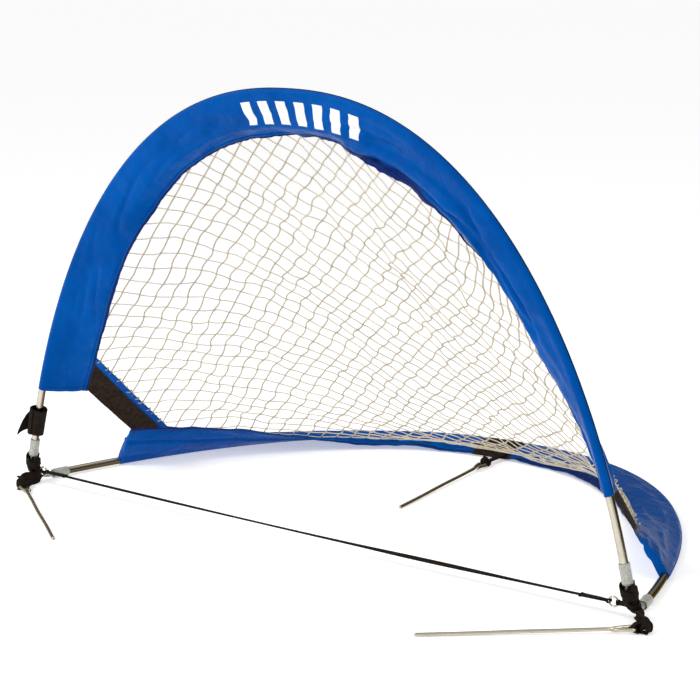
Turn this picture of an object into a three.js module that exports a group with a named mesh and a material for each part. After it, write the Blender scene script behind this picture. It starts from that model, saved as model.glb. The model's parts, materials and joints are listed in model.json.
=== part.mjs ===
// Pop-up lawn goal: an upright arch and a ground arch joined by two flexible corners, with fabric
// sleeves on both arches, a net hung between them, a strap across the mouth and three lawn pegs.
// Millimetres, +Z up, X across the mouth (+X is the right-hand post seen from the front),
// +Y from the mouth towards the back of the goal.
import * as THREE from 'three';

// ---- driving dimensions ------------------------------------------------------------------------
const MOUTH_WIDTH = 1220;        // between the two posts, measured at the ground line
const GOAL_HEIGHT = 720;         // rise of the upright arch
const GOAL_DEPTH = 720;          // reach of the ground arch
const ARCH_POWER = 2.25;         // 2 is an ellipse, higher is squarer
const ARCH_CUT = 21;             // degrees of the full curve left out at each foot
const POST_LEAN = 1.6;           // degrees the upright arch leans forward
const ARCH_STEPS = 42;           // straight steps along an arch

const LINE_HEIGHT = 8.66;         // height of the ground arch's centre line
const CORNER_REACH = 44;         // arch length taken up by the bend of a flexible corner
const TUBE_START = 62;           // arch length from the corner to the steel tube's end
const TUBE_LENGTH = 200;
const TUBE_RADIUS = 6.35;
const TUBE_BORE = 5;
const ROD_START = 200;           // where the centre rod starts, plugged into the steel tube
const ROD_RADIUS = 4.6;
const FERRULE_START = 46;
const FERRULE_LENGTH = 32;
const FERRULE_RADIUS = 9;
const FERRULE_BORE = 6.7;
const ELBOW_RADIUS = 5;
const ELBOW_BORE = 3.2;

const SLEEVE_START = { upper: 178, ground: 190 };   // arch length from the corner to the hem
const POCKET_RADIUS = 9;         // pole pocket of the sleeve
const POCKET_BORE = 7.6;
const BAND_WIDTH = 83;           // from the arch centre line to the band's inner edge
const CLOTH = 1.2;
const FIT = 0.3;                 // clear gap between pieces that touch
const UPPER_BAND_PITCH = 7;      // degrees the upper band is pulled back by the net
const CORNER_PITCH = 56;         // degrees both bands reach beside the corner gussets
const REAR_PITCH = 5;            // degrees the ground band rises at the back
const LIFT_START = 155;          // arch length from the corner where the bands begin to turn
const LIFT_REACH = { upper: 220, left: 330, right: 220 };
const REAR_PATCH_LENGTH = 90;
const REAR_PATCH_OFFSET = -37;   // from the middle of the ground arch, towards the left post

const NET_THICKNESS = 1.4;
const NET_GAP = 4;               // between the net and the edge it is sewn to
const NET_SAG = 120;
const GUSSET_WIDTH = 77;         // along the bands' inner edges, gusset and binding together
const GUSSET_SHARE = 0.8;        // share of the corner panel that is gusset, the rest is binding
const GUSSET_GAP = 1.2;          // between the corner panel and the band's inner edge

const STRAP_WIDTH = 11;
const STRAP_THICKNESS = 1.6;
const STRAP_HEIGHT = { left: 27, right: 23 };
const STRAP_TWIST = [0.58, 0.92];  // shares of the strap between which it turns over
const STRAP_INSET = 32;          // from the corner to the strap's ring
const RING_RADIUS = 7.5;
const RING_WIRE = 1.6;
const RING_LOOP_LENGTH = 11.8;   // from the ring's wire to the seam on the corner wrap

const WEBBING_WIDTH = 9;
const EYE_WEBBING_WIDTH = 6;     // gathered where it passes through a peg's eye
const WEBBING = 1.3;
const PEG_LENGTH = 315;
const PEG_RADIUS = 2.75;
const PEG_EYE_LENGTH = 42;
const PEG_EYE_RADIUS = 7;
const PEG_EYE_HEIGHT = 7;        // height of the eye's end above the ground
const REAR_PEG_OFFSET = 29;      // from the rear patch's middle to its peg
const SEAM_REACH = 12;           // from a band's edge back to the end of webbing sewn under it
const SEAM_DROP = 3;

const STORAGE_STRAP_AT = 114;    // arch length from the corner to the strap's middle
const STORAGE_STRAP_HEIGHT = 46;
const STORAGE_STRAP_SLACK = 5.5;  // between the strap and the tube it slides on
const STORAGE_STRAP_CLOTH = 2.2;

// ---- materials ---------------------------------------------------------------------------------
const material = (color, roughness, metalness = 0) =>
  new THREE.MeshStandardMaterial({ color, roughness, metalness });
const steel = material(0xc9cccf, 0.25, 1);
const pegSteel = material(0xb9bcbf, 0.3, 1);
const glassFibre = material(0xd8d6cc, 0.5);
const clearPlastic = material(0xa9aca2, 0.3);
const cornerPlastic = material(0x8f9188, 0.4);
const blueNylon = material(0x0a55b4, 0.5);
const blackFabric = material(0x231c19, 0.8);
const blackWebbing = material(0x1d1918, 0.75);
const netCord = material(0xd9cba8, 0.8);

const goal = new THREE.Group();
goal.name = 'pop_up_goal';

// ---- geometry helpers --------------------------------------------------------------------------
const v3 = (x, y, z) => new THREE.Vector3(x, y, z);
const lerp = (a, b, t) => a.clone().lerp(b, t);
const along = (p, ...steps) => steps.reduce((sum, [dir, d]) => sum.addScaledVector(dir, d), p.clone());
const radians = THREE.MathUtils.degToRad;

// Signed volume tells whether the faces point outwards.
function volume(points, faces) {
  return faces.reduce((sum, [a, b, c]) =>
    sum + points[a].dot(points[b].clone().cross(points[c])), 0);
}

function addSolid(name, points, faces, mat) {
  const sound = volume(points, faces) < 0 ? faces.map(([a, b, c]) => [a, c, b]) : faces;
  const geometry = new THREE.BufferGeometry();
  geometry.setAttribute('position', new THREE.Float32BufferAttribute(
    points.flatMap((p) => p.toArray()), 3));
  geometry.setIndex(sound.flat());
  geometry.computeVertexNormals();
  const mesh = new THREE.Mesh(geometry, mat);
  mesh.name = name;
  goal.add(mesh);
  return mesh;
}

// Skin between a row of equal closed loops. Returns faces over the loops' points in order.
function skin(loopCount, side, first = 0, closed = false) {
  const faces = [];
  for (let i = 0; i < loopCount - (closed ? 0 : 1); i += 1) {
    const next = (i + 1) % loopCount;
    for (let j = 0; j < side; j += 1) {
      const k = (j + 1) % side;
      const [a, b] = [first + i * side + j, first + i * side + k];
      const [c, d] = [first + next * side + j, first + next * side + k];
      faces.push([a, b, d], [a, d, c]);
    }
  }
  return faces;
}

// A solid bar through convex loops.
function addBar(name, loops, mat) {
  const side = loops[0].length;
  const faces = skin(loops.length, side);
  const last = (loops.length - 1) * side;
  for (let j = 1; j < side - 1; j += 1) {
    faces.push([0, j + 1, j], [last, last + j, last + j + 1]);
  }
  return addSolid(name, loops.flat(), faces, mat);
}

// An open-ended pipe through outer loops and inner loops of equal count.
function addPipe(name, outer, inner, mat) {
  const side = outer[0].length;
  const start = outer.length * side;
  const faces = skin(outer.length, side)
    .concat(skin(inner.length, side, start).map(([a, b, c]) => [a, c, b]));
  for (const [row, flip] of [[0, true], [outer.length - 1, false]]) {
    for (let j = 0; j < side; j += 1) {
      const k = (j + 1) % side;
      const [a, b] = [row * side + j, row * side + k];
      const [c, d] = [start + a, start + b];
      faces.push(...(flip ? [[a, d, b], [a, c, d]] : [[a, b, d], [a, d, c]]));
    }
  }
  return addSolid(name, outer.concat(inner).flat(), faces, mat);
}

// A closed ring through loops.
function addRing(name, loops, mat) {
  return addSolid(name, loops.flat(), skin(loops.length, loops[0].length, 0, true), mat);
}

// A thin sheet over a grid of points, as thick as asked, centred on the grid.
function addSheet(name, grid, thickness, mat) {
  const rows = grid.length;
  const cols = grid[0].length;
  const points = [];
  for (const side of [0.5, -0.5]) {
    for (let i = 0; i < rows; i += 1) {
      for (let j = 0; j < cols; j += 1) {
        const across = grid[i][Math.min(j + 1, cols - 1)].clone().sub(grid[i][Math.max(j - 1, 0)]);
        const down = grid[Math.min(i + 1, rows - 1)][j].clone().sub(grid[Math.max(i - 1, 0)][j]);
        points.push(along(grid[i][j], [across.cross(down).normalize(), side * thickness]));
      }
    }
  }
  const at = (i, j, layer) => layer * rows * cols + i * cols + j;
  const faces = [];
  for (let i = 0; i < rows - 1; i += 1) {
    for (let j = 0; j < cols - 1; j += 1) {
      faces.push([at(i, j, 0), at(i + 1, j, 0), at(i + 1, j + 1, 0)],
        [at(i, j, 0), at(i + 1, j + 1, 0), at(i, j + 1, 0)],
        [at(i, j, 1), at(i + 1, j + 1, 1), at(i + 1, j, 1)],
        [at(i, j, 1), at(i, j + 1, 1), at(i + 1, j + 1, 1)]);
    }
  }
  const rim = [];
  for (let j = 0; j < cols - 1; j += 1) rim.push([0, j]);
  for (let i = 0; i < rows - 1; i += 1) rim.push([i, cols - 1]);
  for (let j = cols - 1; j > 0; j -= 1) rim.push([rows - 1, j]);
  for (let i = rows - 1; i > 0; i -= 1) rim.push([i, 0]);
  rim.forEach(([i, j], k) => {
    const [m, n] = rim[(k + 1) % rim.length];
    faces.push([at(i, j, 0), at(m, n, 0), at(m, n, 1)], [at(i, j, 0), at(m, n, 1), at(i, j, 1)]);
  });
  return addSolid(name, points, faces, mat);
}

// ---- the two arches ----------------------------------------------------------------------------
// Half-superellipse with both feet cut off, walked from the left foot to the right one.
function archSteps(rise) {
  const cut = radians(ARCH_CUT);
  const power = 2 / ARCH_POWER;
  const foot = Math.sin(cut) ** power;
  const curve = Array.from({ length: 721 }, (_, i) => {
    const t = Math.PI - cut - (i / 720) * (Math.PI - 2 * cut);
    const x = Math.sign(Math.cos(t)) * Math.abs(Math.cos(t)) ** power;
    return new THREE.Vector2(
      (x * MOUTH_WIDTH) / 2 / Math.cos(cut) ** power,
      (rise * (Math.sin(t) ** power - foot)) / (1 - foot));
  });
  const line = new THREE.CatmullRomCurve3(curve.map((p) => v3(p.x, p.y, 0)));
  line.arcLengthDivisions = 2000;
  return line.getSpacedPoints(ARCH_STEPS);
}

// An arch is a list of stations: centre point, inward direction n, direction b out of the arch's
// plane towards the net, and the distance walked.
function makeArch(rise, place, inPlane, b) {
  const flat = archSteps(rise);
  let walked = 0;
  return flat.map((p, i) => {
    const ahead = flat[Math.min(i + 1, flat.length - 1)];
    const behind = flat[Math.max(i - 1, 0)];
    const t = ahead.clone().sub(behind).normalize();
    if (i > 0) walked += p.distanceTo(behind);
    return { p: place(p), n: inPlane(t.y, -t.x), b: b.clone(), at: walked };
  });
}

const lean = radians(POST_LEAN);
const upperArch = makeArch(GOAL_HEIGHT,
  (p) => v3(p.x, -p.y * Math.sin(lean), LINE_HEIGHT + p.y * Math.cos(lean)),
  (x, h) => v3(x, -h * Math.sin(lean), h * Math.cos(lean)),
  v3(0, Math.cos(lean), Math.sin(lean)));
const groundArch = makeArch(GOAL_DEPTH,
  (p) => v3(p.x, p.y, LINE_HEIGHT), (x, h) => v3(x, h, 0), v3(0, 0, 1));
const archLength = (arch) => arch[arch.length - 1].at;

// Station at a walked distance, between the two nearest steps.
function stationAt(arch, distance) {
  const i = Math.max(1, arch.findIndex((s) => s.at >= distance));
  const [a, b] = [arch[i - 1], arch[i]];
  const t = (distance - a.at) / (b.at - a.at);
  return { p: lerp(a.p, b.p, t), n: lerp(a.n, b.n, t), b: a.b.clone(), at: distance };
}

const stretch = (arch, from, to) => [stationAt(arch, from),
  ...arch.filter((s) => s.at > from + 6 && s.at < to - 6), stationAt(arch, to)];

// Distances of a piece that sits at the left or the right foot.
function span(arch, side, start, length) {
  return side === 'left' ? [start, start + length]
    : [archLength(arch) - start - length, archLength(arch) - start];
}

const roundLoops = (stations, radius, sides) => stations.map(({ p, n, b }) =>
  Array.from({ length: sides }, (_, j) => {
    const a = ((j + 0.5) / sides) * 2 * Math.PI;
    return along(p, [n, radius * Math.cos(a)], [b, radius * Math.sin(a)]);
  }));

const addArchPipe = (name, stations, radius, bore, mat, sides = 8) => addPipe(name,
  roundLoops(stations, radius, sides), roundLoops(stations, bore, sides), mat);

// ---- poles: centre rods, steel end tubes, clear ferrules ---------------------------------------
const arches = { upper: upperArch, ground: groundArch };
for (const [level, arch] of Object.entries(arches)) {
  const rod = stretch(arch, ROD_START, archLength(arch) - ROD_START);
  addBar(`${level}_rod`, roundLoops(rod, ROD_RADIUS, 8), glassFibre);
  for (const side of ['left', 'right']) {
    addArchPipe(`${level}_${side}_tube`,
      stretch(arch, ...span(arch, side, TUBE_START, TUBE_LENGTH)), TUBE_RADIUS, TUBE_BORE, steel);
    addArchPipe(`${level}_${side}_ferrule`,
      stretch(arch, ...span(arch, side, FERRULE_START, FERRULE_LENGTH)),
      FERRULE_RADIUS, FERRULE_BORE, clearPlastic);
  }
}

// ---- flexible corners --------------------------------------------------------------------------
// The corner tube leaves the upright ferrule, bends through a quarter turn and enters the ground one.
function cornerPath(side) {
  const feet = Object.values(arches).map((arch) => (distance) =>
    stationAt(arch, side === 'left' ? distance : archLength(arch) - distance).p);
  const [up, ground] = feet;
  const bend = new THREE.QuadraticBezierCurve3(up(CORNER_REACH), up(0.5), ground(CORNER_REACH));
  return [up(TUBE_START - FIT), ...bend.getPoints(7), ground(TUBE_START - FIT)];
}

function freeStations(path) {
  return path.map((p, i) => {
    const t = path[Math.min(i + 1, path.length - 1)].clone()
      .sub(path[Math.max(i - 1, 0)]).normalize();
    const n = v3(1, 0, 0).addScaledVector(t, -t.x).normalize();
    return { p, n, b: t.clone().cross(n), t };
  });
}

for (const side of ['left', 'right']) {
  addArchPipe(`${side}_elbow`, freeStations(cornerPath(side)), ELBOW_RADIUS, ELBOW_BORE,
    cornerPlastic);
}

// ---- sleeves: pole pocket and band -------------------------------------------------------------
// Direction in which a band leaves its pocket.
function bandDirection(level, s) {
  const arch = arches[level];
  const left = s.at < archLength(arch) / 2;
  const fromStart = (left ? s.at : archLength(arch) - s.at) - LIFT_START;
  const open = level === 'upper' ? UPPER_BAND_PITCH : REAR_PITCH;
  const reach = LIFT_REACH[level === 'upper' ? 'upper' : left ? 'left' : 'right'];
  const pitch = open + (CORNER_PITCH - open) * Math.exp(-((Math.max(fromStart, 0) / reach) ** 2));
  const a = radians(pitch);
  return along(v3(0, 0, 0), [s.n, Math.cos(a)], [s.b, Math.sin(a)]);
}

const bandPoint = (level, s, distance) => along(s.p, [bandDirection(level, s), distance]);

function addBand(name, level, from, to, mat) {
  addSheet(name, stretch(arches[level], from, to).map((s) =>
    [POCKET_RADIUS + FIT, BAND_WIDTH].map((w) => bandPoint(level, s, w))), CLOTH, mat);
}

function addSleeve(name, level, from, to, mat) {
  addArchPipe(`${name}_pocket`, stretch(arches[level], from, to), POCKET_RADIUS, POCKET_BORE, mat);
  addBand(`${name}_band`, level, from, to, mat);
}

const rearMiddle = archLength(groundArch) / 2 + REAR_PATCH_OFFSET;
const patch = [rearMiddle - REAR_PATCH_LENGTH / 2, rearMiddle + REAR_PATCH_LENGTH / 2];
addSleeve('upper', 'upper', SLEEVE_START.upper, archLength(upperArch) - SLEEVE_START.upper,
  blueNylon);
addSleeve('ground_left', 'ground', SLEEVE_START.ground, patch[0] - FIT, blueNylon);
addSleeve('ground_right', 'ground', patch[1] + FIT, archLength(groundArch) - SLEEVE_START.ground,
  blueNylon);
addSleeve('rear_patch', 'ground', ...patch, blackFabric);

// ---- corner gussets and their bindings ---------------------------------------------------------
// A corner panel runs from the upper band's inner edge to the ground band's, from the hems inwards.
for (const side of ['left', 'right']) {
  const edgePoint = (level, across) => {
    const distance = SLEEVE_START[level] + GUSSET_WIDTH * across;
    const arch = arches[level];
    const s = stationAt(arch, side === 'left' ? distance : archLength(arch) - distance);
    return bandPoint(level, s, BAND_WIDTH + GUSSET_GAP);
  };
  const grid = (from, to, rows, columns) => Array.from({ length: rows }, (_, i) =>
    Array.from({ length: columns }, (_, j) => {
      const across = from + (to - from) * (j / (columns - 1));
      const down = 0.02 + 0.96 * (i / (rows - 1));
      return lerp(edgePoint('upper', across), edgePoint('ground', across), down);
    }));
  addSheet(`${side}_gusset`, grid(0, GUSSET_SHARE - 0.01, 7, 4), CLOTH, blackFabric);
  addSheet(`${side}_gusset_binding`, grid(GUSSET_SHARE, 1, 7, 2), 2.2, blueNylon);
}

// ---- net ---------------------------------------------------------------------------------------
// Hung from the upper band's inner edge to the ground band's inner edge, sagging in between.
const NET_ROWS = 12;
const netStart = { upper: SLEEVE_START.upper + GUSSET_WIDTH + NET_GAP,
  ground: SLEEVE_START.ground + GUSSET_WIDTH + NET_GAP };
const netSpan = (level) => archLength(arches[level]) - 2 * netStart[level];
const netColumns = stretch(upperArch, netStart.upper, netStart.upper + netSpan('upper')).map((s) => {
  const share = (s.at - netStart.upper) / netSpan('upper');
  const g = stationAt(groundArch, netStart.ground + share * netSpan('ground'));
  const top = bandPoint('upper', s, BAND_WIDTH + NET_GAP);
  const foot = bandPoint('ground', g, BAND_WIDTH + NET_GAP);
  const slack = NET_SAG * Math.sin(Math.PI * share) ** 2;
  return Array.from({ length: NET_ROWS + 1 }, (_, i) => {
    const v = i / NET_ROWS;
    return along(lerp(top, foot, v), [v3(0, 0, -1), slack * 4 * v * (1 - v) * (0.7 + 0.5 * v)]);
  });
});
addSheet('net', netColumns, NET_THICKNESS, netCord);

// ---- corner wraps, strap rings and the strap across the mouth ----------------------------------
const wrapLoops = (stations, radius) => roundLoops(stations, radius, 10);
const strapEnds = {};
const ringWires = {};
for (const side of ['left', 'right']) {
  const inward = side === 'left' ? 1 : -1;
  const path = freeStations(cornerPath(side)).slice(1, 5);
  addPipe(`${side}_corner_wrap`, wrapLoops(path, ELBOW_RADIUS + 1.9),
    wrapLoops(path, ELBOW_RADIUS + FIT), blackWebbing);

  // wire ring hanging in the strap's end loop, beside the wrap
  const centre = v3(-inward * (MOUTH_WIDTH / 2 - STRAP_INSET), 0, STRAP_HEIGHT[side]);
  const ring = Array.from({ length: 14 }, (_, i) => {
    const a = (i / 14) * 2 * Math.PI;
    const out = v3(Math.cos(a), 0, Math.sin(a));
    return Array.from({ length: 6 }, (_, j) => {
      const c = (j / 6) * 2 * Math.PI;
      return along(centre, [out, RING_RADIUS + RING_WIRE * Math.cos(c)],
        [v3(0, 1, 0), RING_WIRE * Math.sin(c)]);
    });
  });
  addRing(`${side}_strap_ring`, ring, steel);
  strapEnds[side] = along(centre, [v3(inward, 0, 0), RING_RADIUS + RING_WIRE + 1]);
  ringWires[side] = along(centre, [v3(-inward, 0, 0), RING_RADIUS]);
}

// flat ribbon lying level, with one half twist near the right-hand end
const strapGrid = Array.from({ length: 41 }, (_, i) => {
  const t = i / 40;
  const p = along(lerp(strapEnds.left, strapEnds.right, t),
    [v3(0, 0, -1), 4 * Math.sin(Math.PI * t)]);
  const turn = Math.PI * THREE.MathUtils.smoothstep(t, STRAP_TWIST[0], STRAP_TWIST[1]);
  const wide = v3(0, Math.cos(turn), Math.sin(turn));
  return [1, -1].map((side) => along(p, [wide, (side * STRAP_WIDTH) / 2]));
});
addSheet('mouth_strap', strapGrid, STRAP_THICKNESS, blackWebbing);

// ---- pegs and their tethers --------------------------------------------------------------------
// Two tethers loop round the corner tubes; the rear one is sewn to the black patch's inner edge.
const elbowMiddle = (side) => freeStations(cornerPath(side))[5];
const patchSeam = along(bandPoint('ground', stationAt(groundArch, rearMiddle + REAR_PEG_OFFSET),
  BAND_WIDTH - SEAM_REACH), [v3(0, 0, -1), SEAM_DROP]);
const pegs = {
  right: { knot: elbowMiddle('right'), eye: v3(637, -40, PEG_EYE_HEIGHT), heading: -141 },
  left: { knot: elbowMiddle('left'), eye: v3(-591, -38, PEG_EYE_HEIGHT), heading: -35.5 },
  rear: { seam: patchSeam, eye: v3(-8, 574, PEG_EYE_HEIGHT), heading: -85 },
};

// A shank that runs into a teardrop eye; x is along the peg from the eye's end, y across it.
const eyeArc = Array.from({ length: 9 }, (_, k) => {
  const a = radians(-100 + 25 * k);
  return [PEG_EYE_RADIUS * (1 - Math.cos(a)), PEG_EYE_RADIUS * Math.sin(a)];
});
const neck = PEG_EYE_RADIUS * 0.6;
const pegLine = [
  [PEG_LENGTH, 0], [PEG_LENGTH - 4, 0], [PEG_LENGTH * 0.5, 0], [PEG_EYE_LENGTH + 9, 0],
  [PEG_EYE_LENGTH - 4, -0.5], [PEG_EYE_LENGTH * 0.58, -neck], ...eyeArc,
  [PEG_EYE_LENGTH * 0.58, neck], [PEG_EYE_LENGTH - 6, 2 * PEG_RADIUS + FIT],
];

function addPeg(name, eye, axis, across) {
  const up = across.clone().cross(axis).negate().normalize();
  const points = pegLine.map(([x, y]) => along(eye, [axis, x], [across, y]));
  const loops = points.map((p, i) => {
    const t = points[Math.min(i + 1, points.length - 1)].clone()
      .sub(points[Math.max(i - 1, 0)]).normalize();
    const n = up.clone().cross(t).normalize();
    const radius = i === 0 ? PEG_RADIUS * 0.5 : PEG_RADIUS;
    return Array.from({ length: 6 }, (_, j) => {
      const a = (j / 6) * 2 * Math.PI;
      return along(p, [n, radius * Math.cos(a)], [up, radius * Math.sin(a)]);
    });
  });
  addBar(name, loops, pegSteel);
}

// A closed belt of webbing round two ends, its two layers lying on each other in between.
// Each end has a centre, a radius, a direction towards the other end and a layer direction.
function addBelt(name, a, b, mat) {
  const layer = WEBBING / 2 + 0.3;
  // Both ends get the same handedness of width, layer and walking direction.
  const squared = (end, ahead) => ({ ...end,
    wide: end.wide.clone().multiplyScalar(
      Math.sign(end.wide.dot(end.layer.clone().cross(ahead)))) });
  const first = squared(a, a.to);
  let second = squared(b, b.to.clone().negate());
  const turn = (end, side) => Array.from({ length: end.steps }, (_, i) => {
    const open = Math.asin(Math.min(0.95, layer / end.radius)) + 0.25;
    const angle = open + (i / (end.steps - 1)) * 2 * (Math.PI - open);
    const out = along(v3(0, 0, 0), [end.to, Math.cos(angle)], [end.layer, side * Math.sin(angle)]);
    return { p: along(end.centre, [out, end.radius]), n: out, w: end.wide, width: end.width };
  });
  const line = new THREE.CubicBezierCurve3(
    along(a.centre, [a.to, a.radius * 1.25 + 1]), along(a.centre, [a.to, a.radius + a.pull]),
    along(b.centre, [b.to, b.radius + b.pull]), along(b.centre, [b.to, b.radius * 1.25 + 1]));
  // The webbing is carried along the line without turning, then twisted to meet the second end.
  const steps = 12;
  const carried = [];
  for (let i = 0; i <= steps; i += 1) {
    const tangent = line.getTangent(i / steps);
    const w = (i ? carried[i - 1].w : first.wide).clone();
    carried.push({ tangent, w: w.addScaledVector(tangent, -w.dot(tangent)).normalize() });
  }
  const end = carried[steps];
  const angleTo = (wide) => Math.atan2(end.w.clone().cross(wide).dot(end.tangent), end.w.dot(wide));
  if (Math.abs(angleTo(second.wide)) > Math.PI / 2) {
    second = { ...second, wide: second.wide.clone().negate(), layer: second.layer.clone().negate() };
  }
  const twist = angleTo(second.wide);
  const tail = carried.map(({ tangent, w }, i) => {
    const t = i / steps;
    const wide = w.clone().applyAxisAngle(tangent, twist * t * t * (3 - 2 * t));
    return { p: line.getPoint(t), n: tangent.clone().cross(wide), w: wide,
      width: a.width + (b.width - a.width) * t };
  });
  const top = tail.map((s) => ({ ...s, p: along(s.p, [s.n, layer]) }));
  const under = tail.map((s) => ({ ...s, n: s.n.clone().negate(), p: along(s.p, [s.n, -layer]) }));
  const belt = [...turn(first, -1), ...top, ...turn(second, 1), ...under.reverse()];
  addRing(name, belt.map(({ p, n, w, width }) =>
    [[1, 1], [1, -1], [-1, -1], [-1, 1]].map(([side, face]) =>
      along(p, [w, (side * width) / 2], [n, (face * WEBBING) / 2]))), mat);
}

for (const [name, { knot, seam, eye, heading }] of Object.entries(pegs)) {
  const forward = v3(Math.cos(radians(heading)), Math.sin(radians(heading)), 0);
  const across = v3(-forward.y, forward.x, 0);
  const tip = along(eye, [forward, PEG_LENGTH]).setZ(PEG_RADIUS);
  addPeg(`${name}_peg`, eye, tip.clone().sub(eye).normalize(), across);

  const eyeEnd = {
    centre: eye, radius: PEG_RADIUS + 2.6 + WEBBING / 2, to: forward.clone().negate(),
    layer: v3(0, 0, 1), wide: across, width: EYE_WEBBING_WIDTH, steps: 13, pull: 12,
  };
  const anchor = knot ? knot.p : seam;
  const towards = eye.clone().sub(anchor);
  const axis = knot ? knot.t.clone() : v3(1, 0, 0);
  towards.addScaledVector(axis, -towards.dot(axis)).normalize();
  const layer = axis.clone().cross(towards);
  if (layer.z < 0) layer.negate();
  const anchorEnd = {
    centre: anchor, radius: knot ? ELBOW_RADIUS + 0.9 + WEBBING / 2 : WEBBING / 2 + 0.35,
    to: towards, layer, wide: axis, width: WEBBING_WIDTH, steps: knot ? 13 : 4, pull: knot ? 14 : 6,
  };
  if (across.dot(axis) < 0) anchorEnd.wide = axis.clone().negate();
  addBelt(`${name}_tether`, anchorEnd, eyeEnd, blackWebbing);
}

// short webbing loops from the corner wraps to the strap rings
for (const side of ['left', 'right']) {
  const outward = v3(side === 'left' ? -1 : 1, 0, 0);
  const common = { layer: v3(0, 1, 0), wide: v3(0, 0, 1), width: 5, pull: 2.5 };
  const seamEnd = { ...common, centre: along(ringWires[side], [outward, RING_LOOP_LENGTH]),
    radius: WEBBING / 2 + 0.35, to: outward.clone().negate(), steps: 4 };
  const ringEnd = { ...common, centre: ringWires[side],
    radius: RING_WIRE + 2 * FIT + WEBBING / 2, to: outward, steps: 11 };
  addBelt(`${side}_ring_loop`, seamEnd, ringEnd, blackWebbing);
}

// ---- hook-and-loop storage strap round the left upright tube -----------------------------------
const strapAt = [STORAGE_STRAP_AT - STORAGE_STRAP_HEIGHT / 2,
  STORAGE_STRAP_AT + STORAGE_STRAP_HEIGHT / 2];
const strapStations = stretch(upperArch, ...strapAt);
const strapBore = TUBE_RADIUS + STORAGE_STRAP_SLACK;
addArchPipe('storage_strap', strapStations, strapBore + STORAGE_STRAP_CLOTH, strapBore,
  blackWebbing);

// free end of the strap, a pointed tab standing off to the front and down
const tabRoot = along(stationAt(upperArch, STORAGE_STRAP_AT).p,
  [v3(-1, 0, 0), strapBore + STORAGE_STRAP_CLOTH + 1.65]);
const lengthwise = strapStations[1].p.clone().sub(strapStations[0].p).normalize();
const tabRows = 6;
const tabGrid = Array.from({ length: tabRows + 1 }, (_, i) => {
  const t = i / tabRows;
  const width = 15 * (1 - 0.55 * t * t);
  const p = along(tabRoot, [v3(-0.35, -0.75, 0), 30 * t], [v3(0, 0, -1), 18 * t * t + 4 * t]);
  return [-1, 0, 1].map((s) => along(p, [lengthwise, s * width]));
});
addSheet('storage_tab', tabGrid, 1.8, blackWebbing);

// ---- stand the goal over the middle of its own footprint ---------------------------------------
const box = new THREE.Box3().setFromObject(goal);
const middle = box.getCenter(new THREE.Vector3());
for (const mesh of goal.children) mesh.geometry.translate(-middle.x, -middle.y, -box.min.z);
goal.updateMatrixWorld(true);

export default goal;
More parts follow.
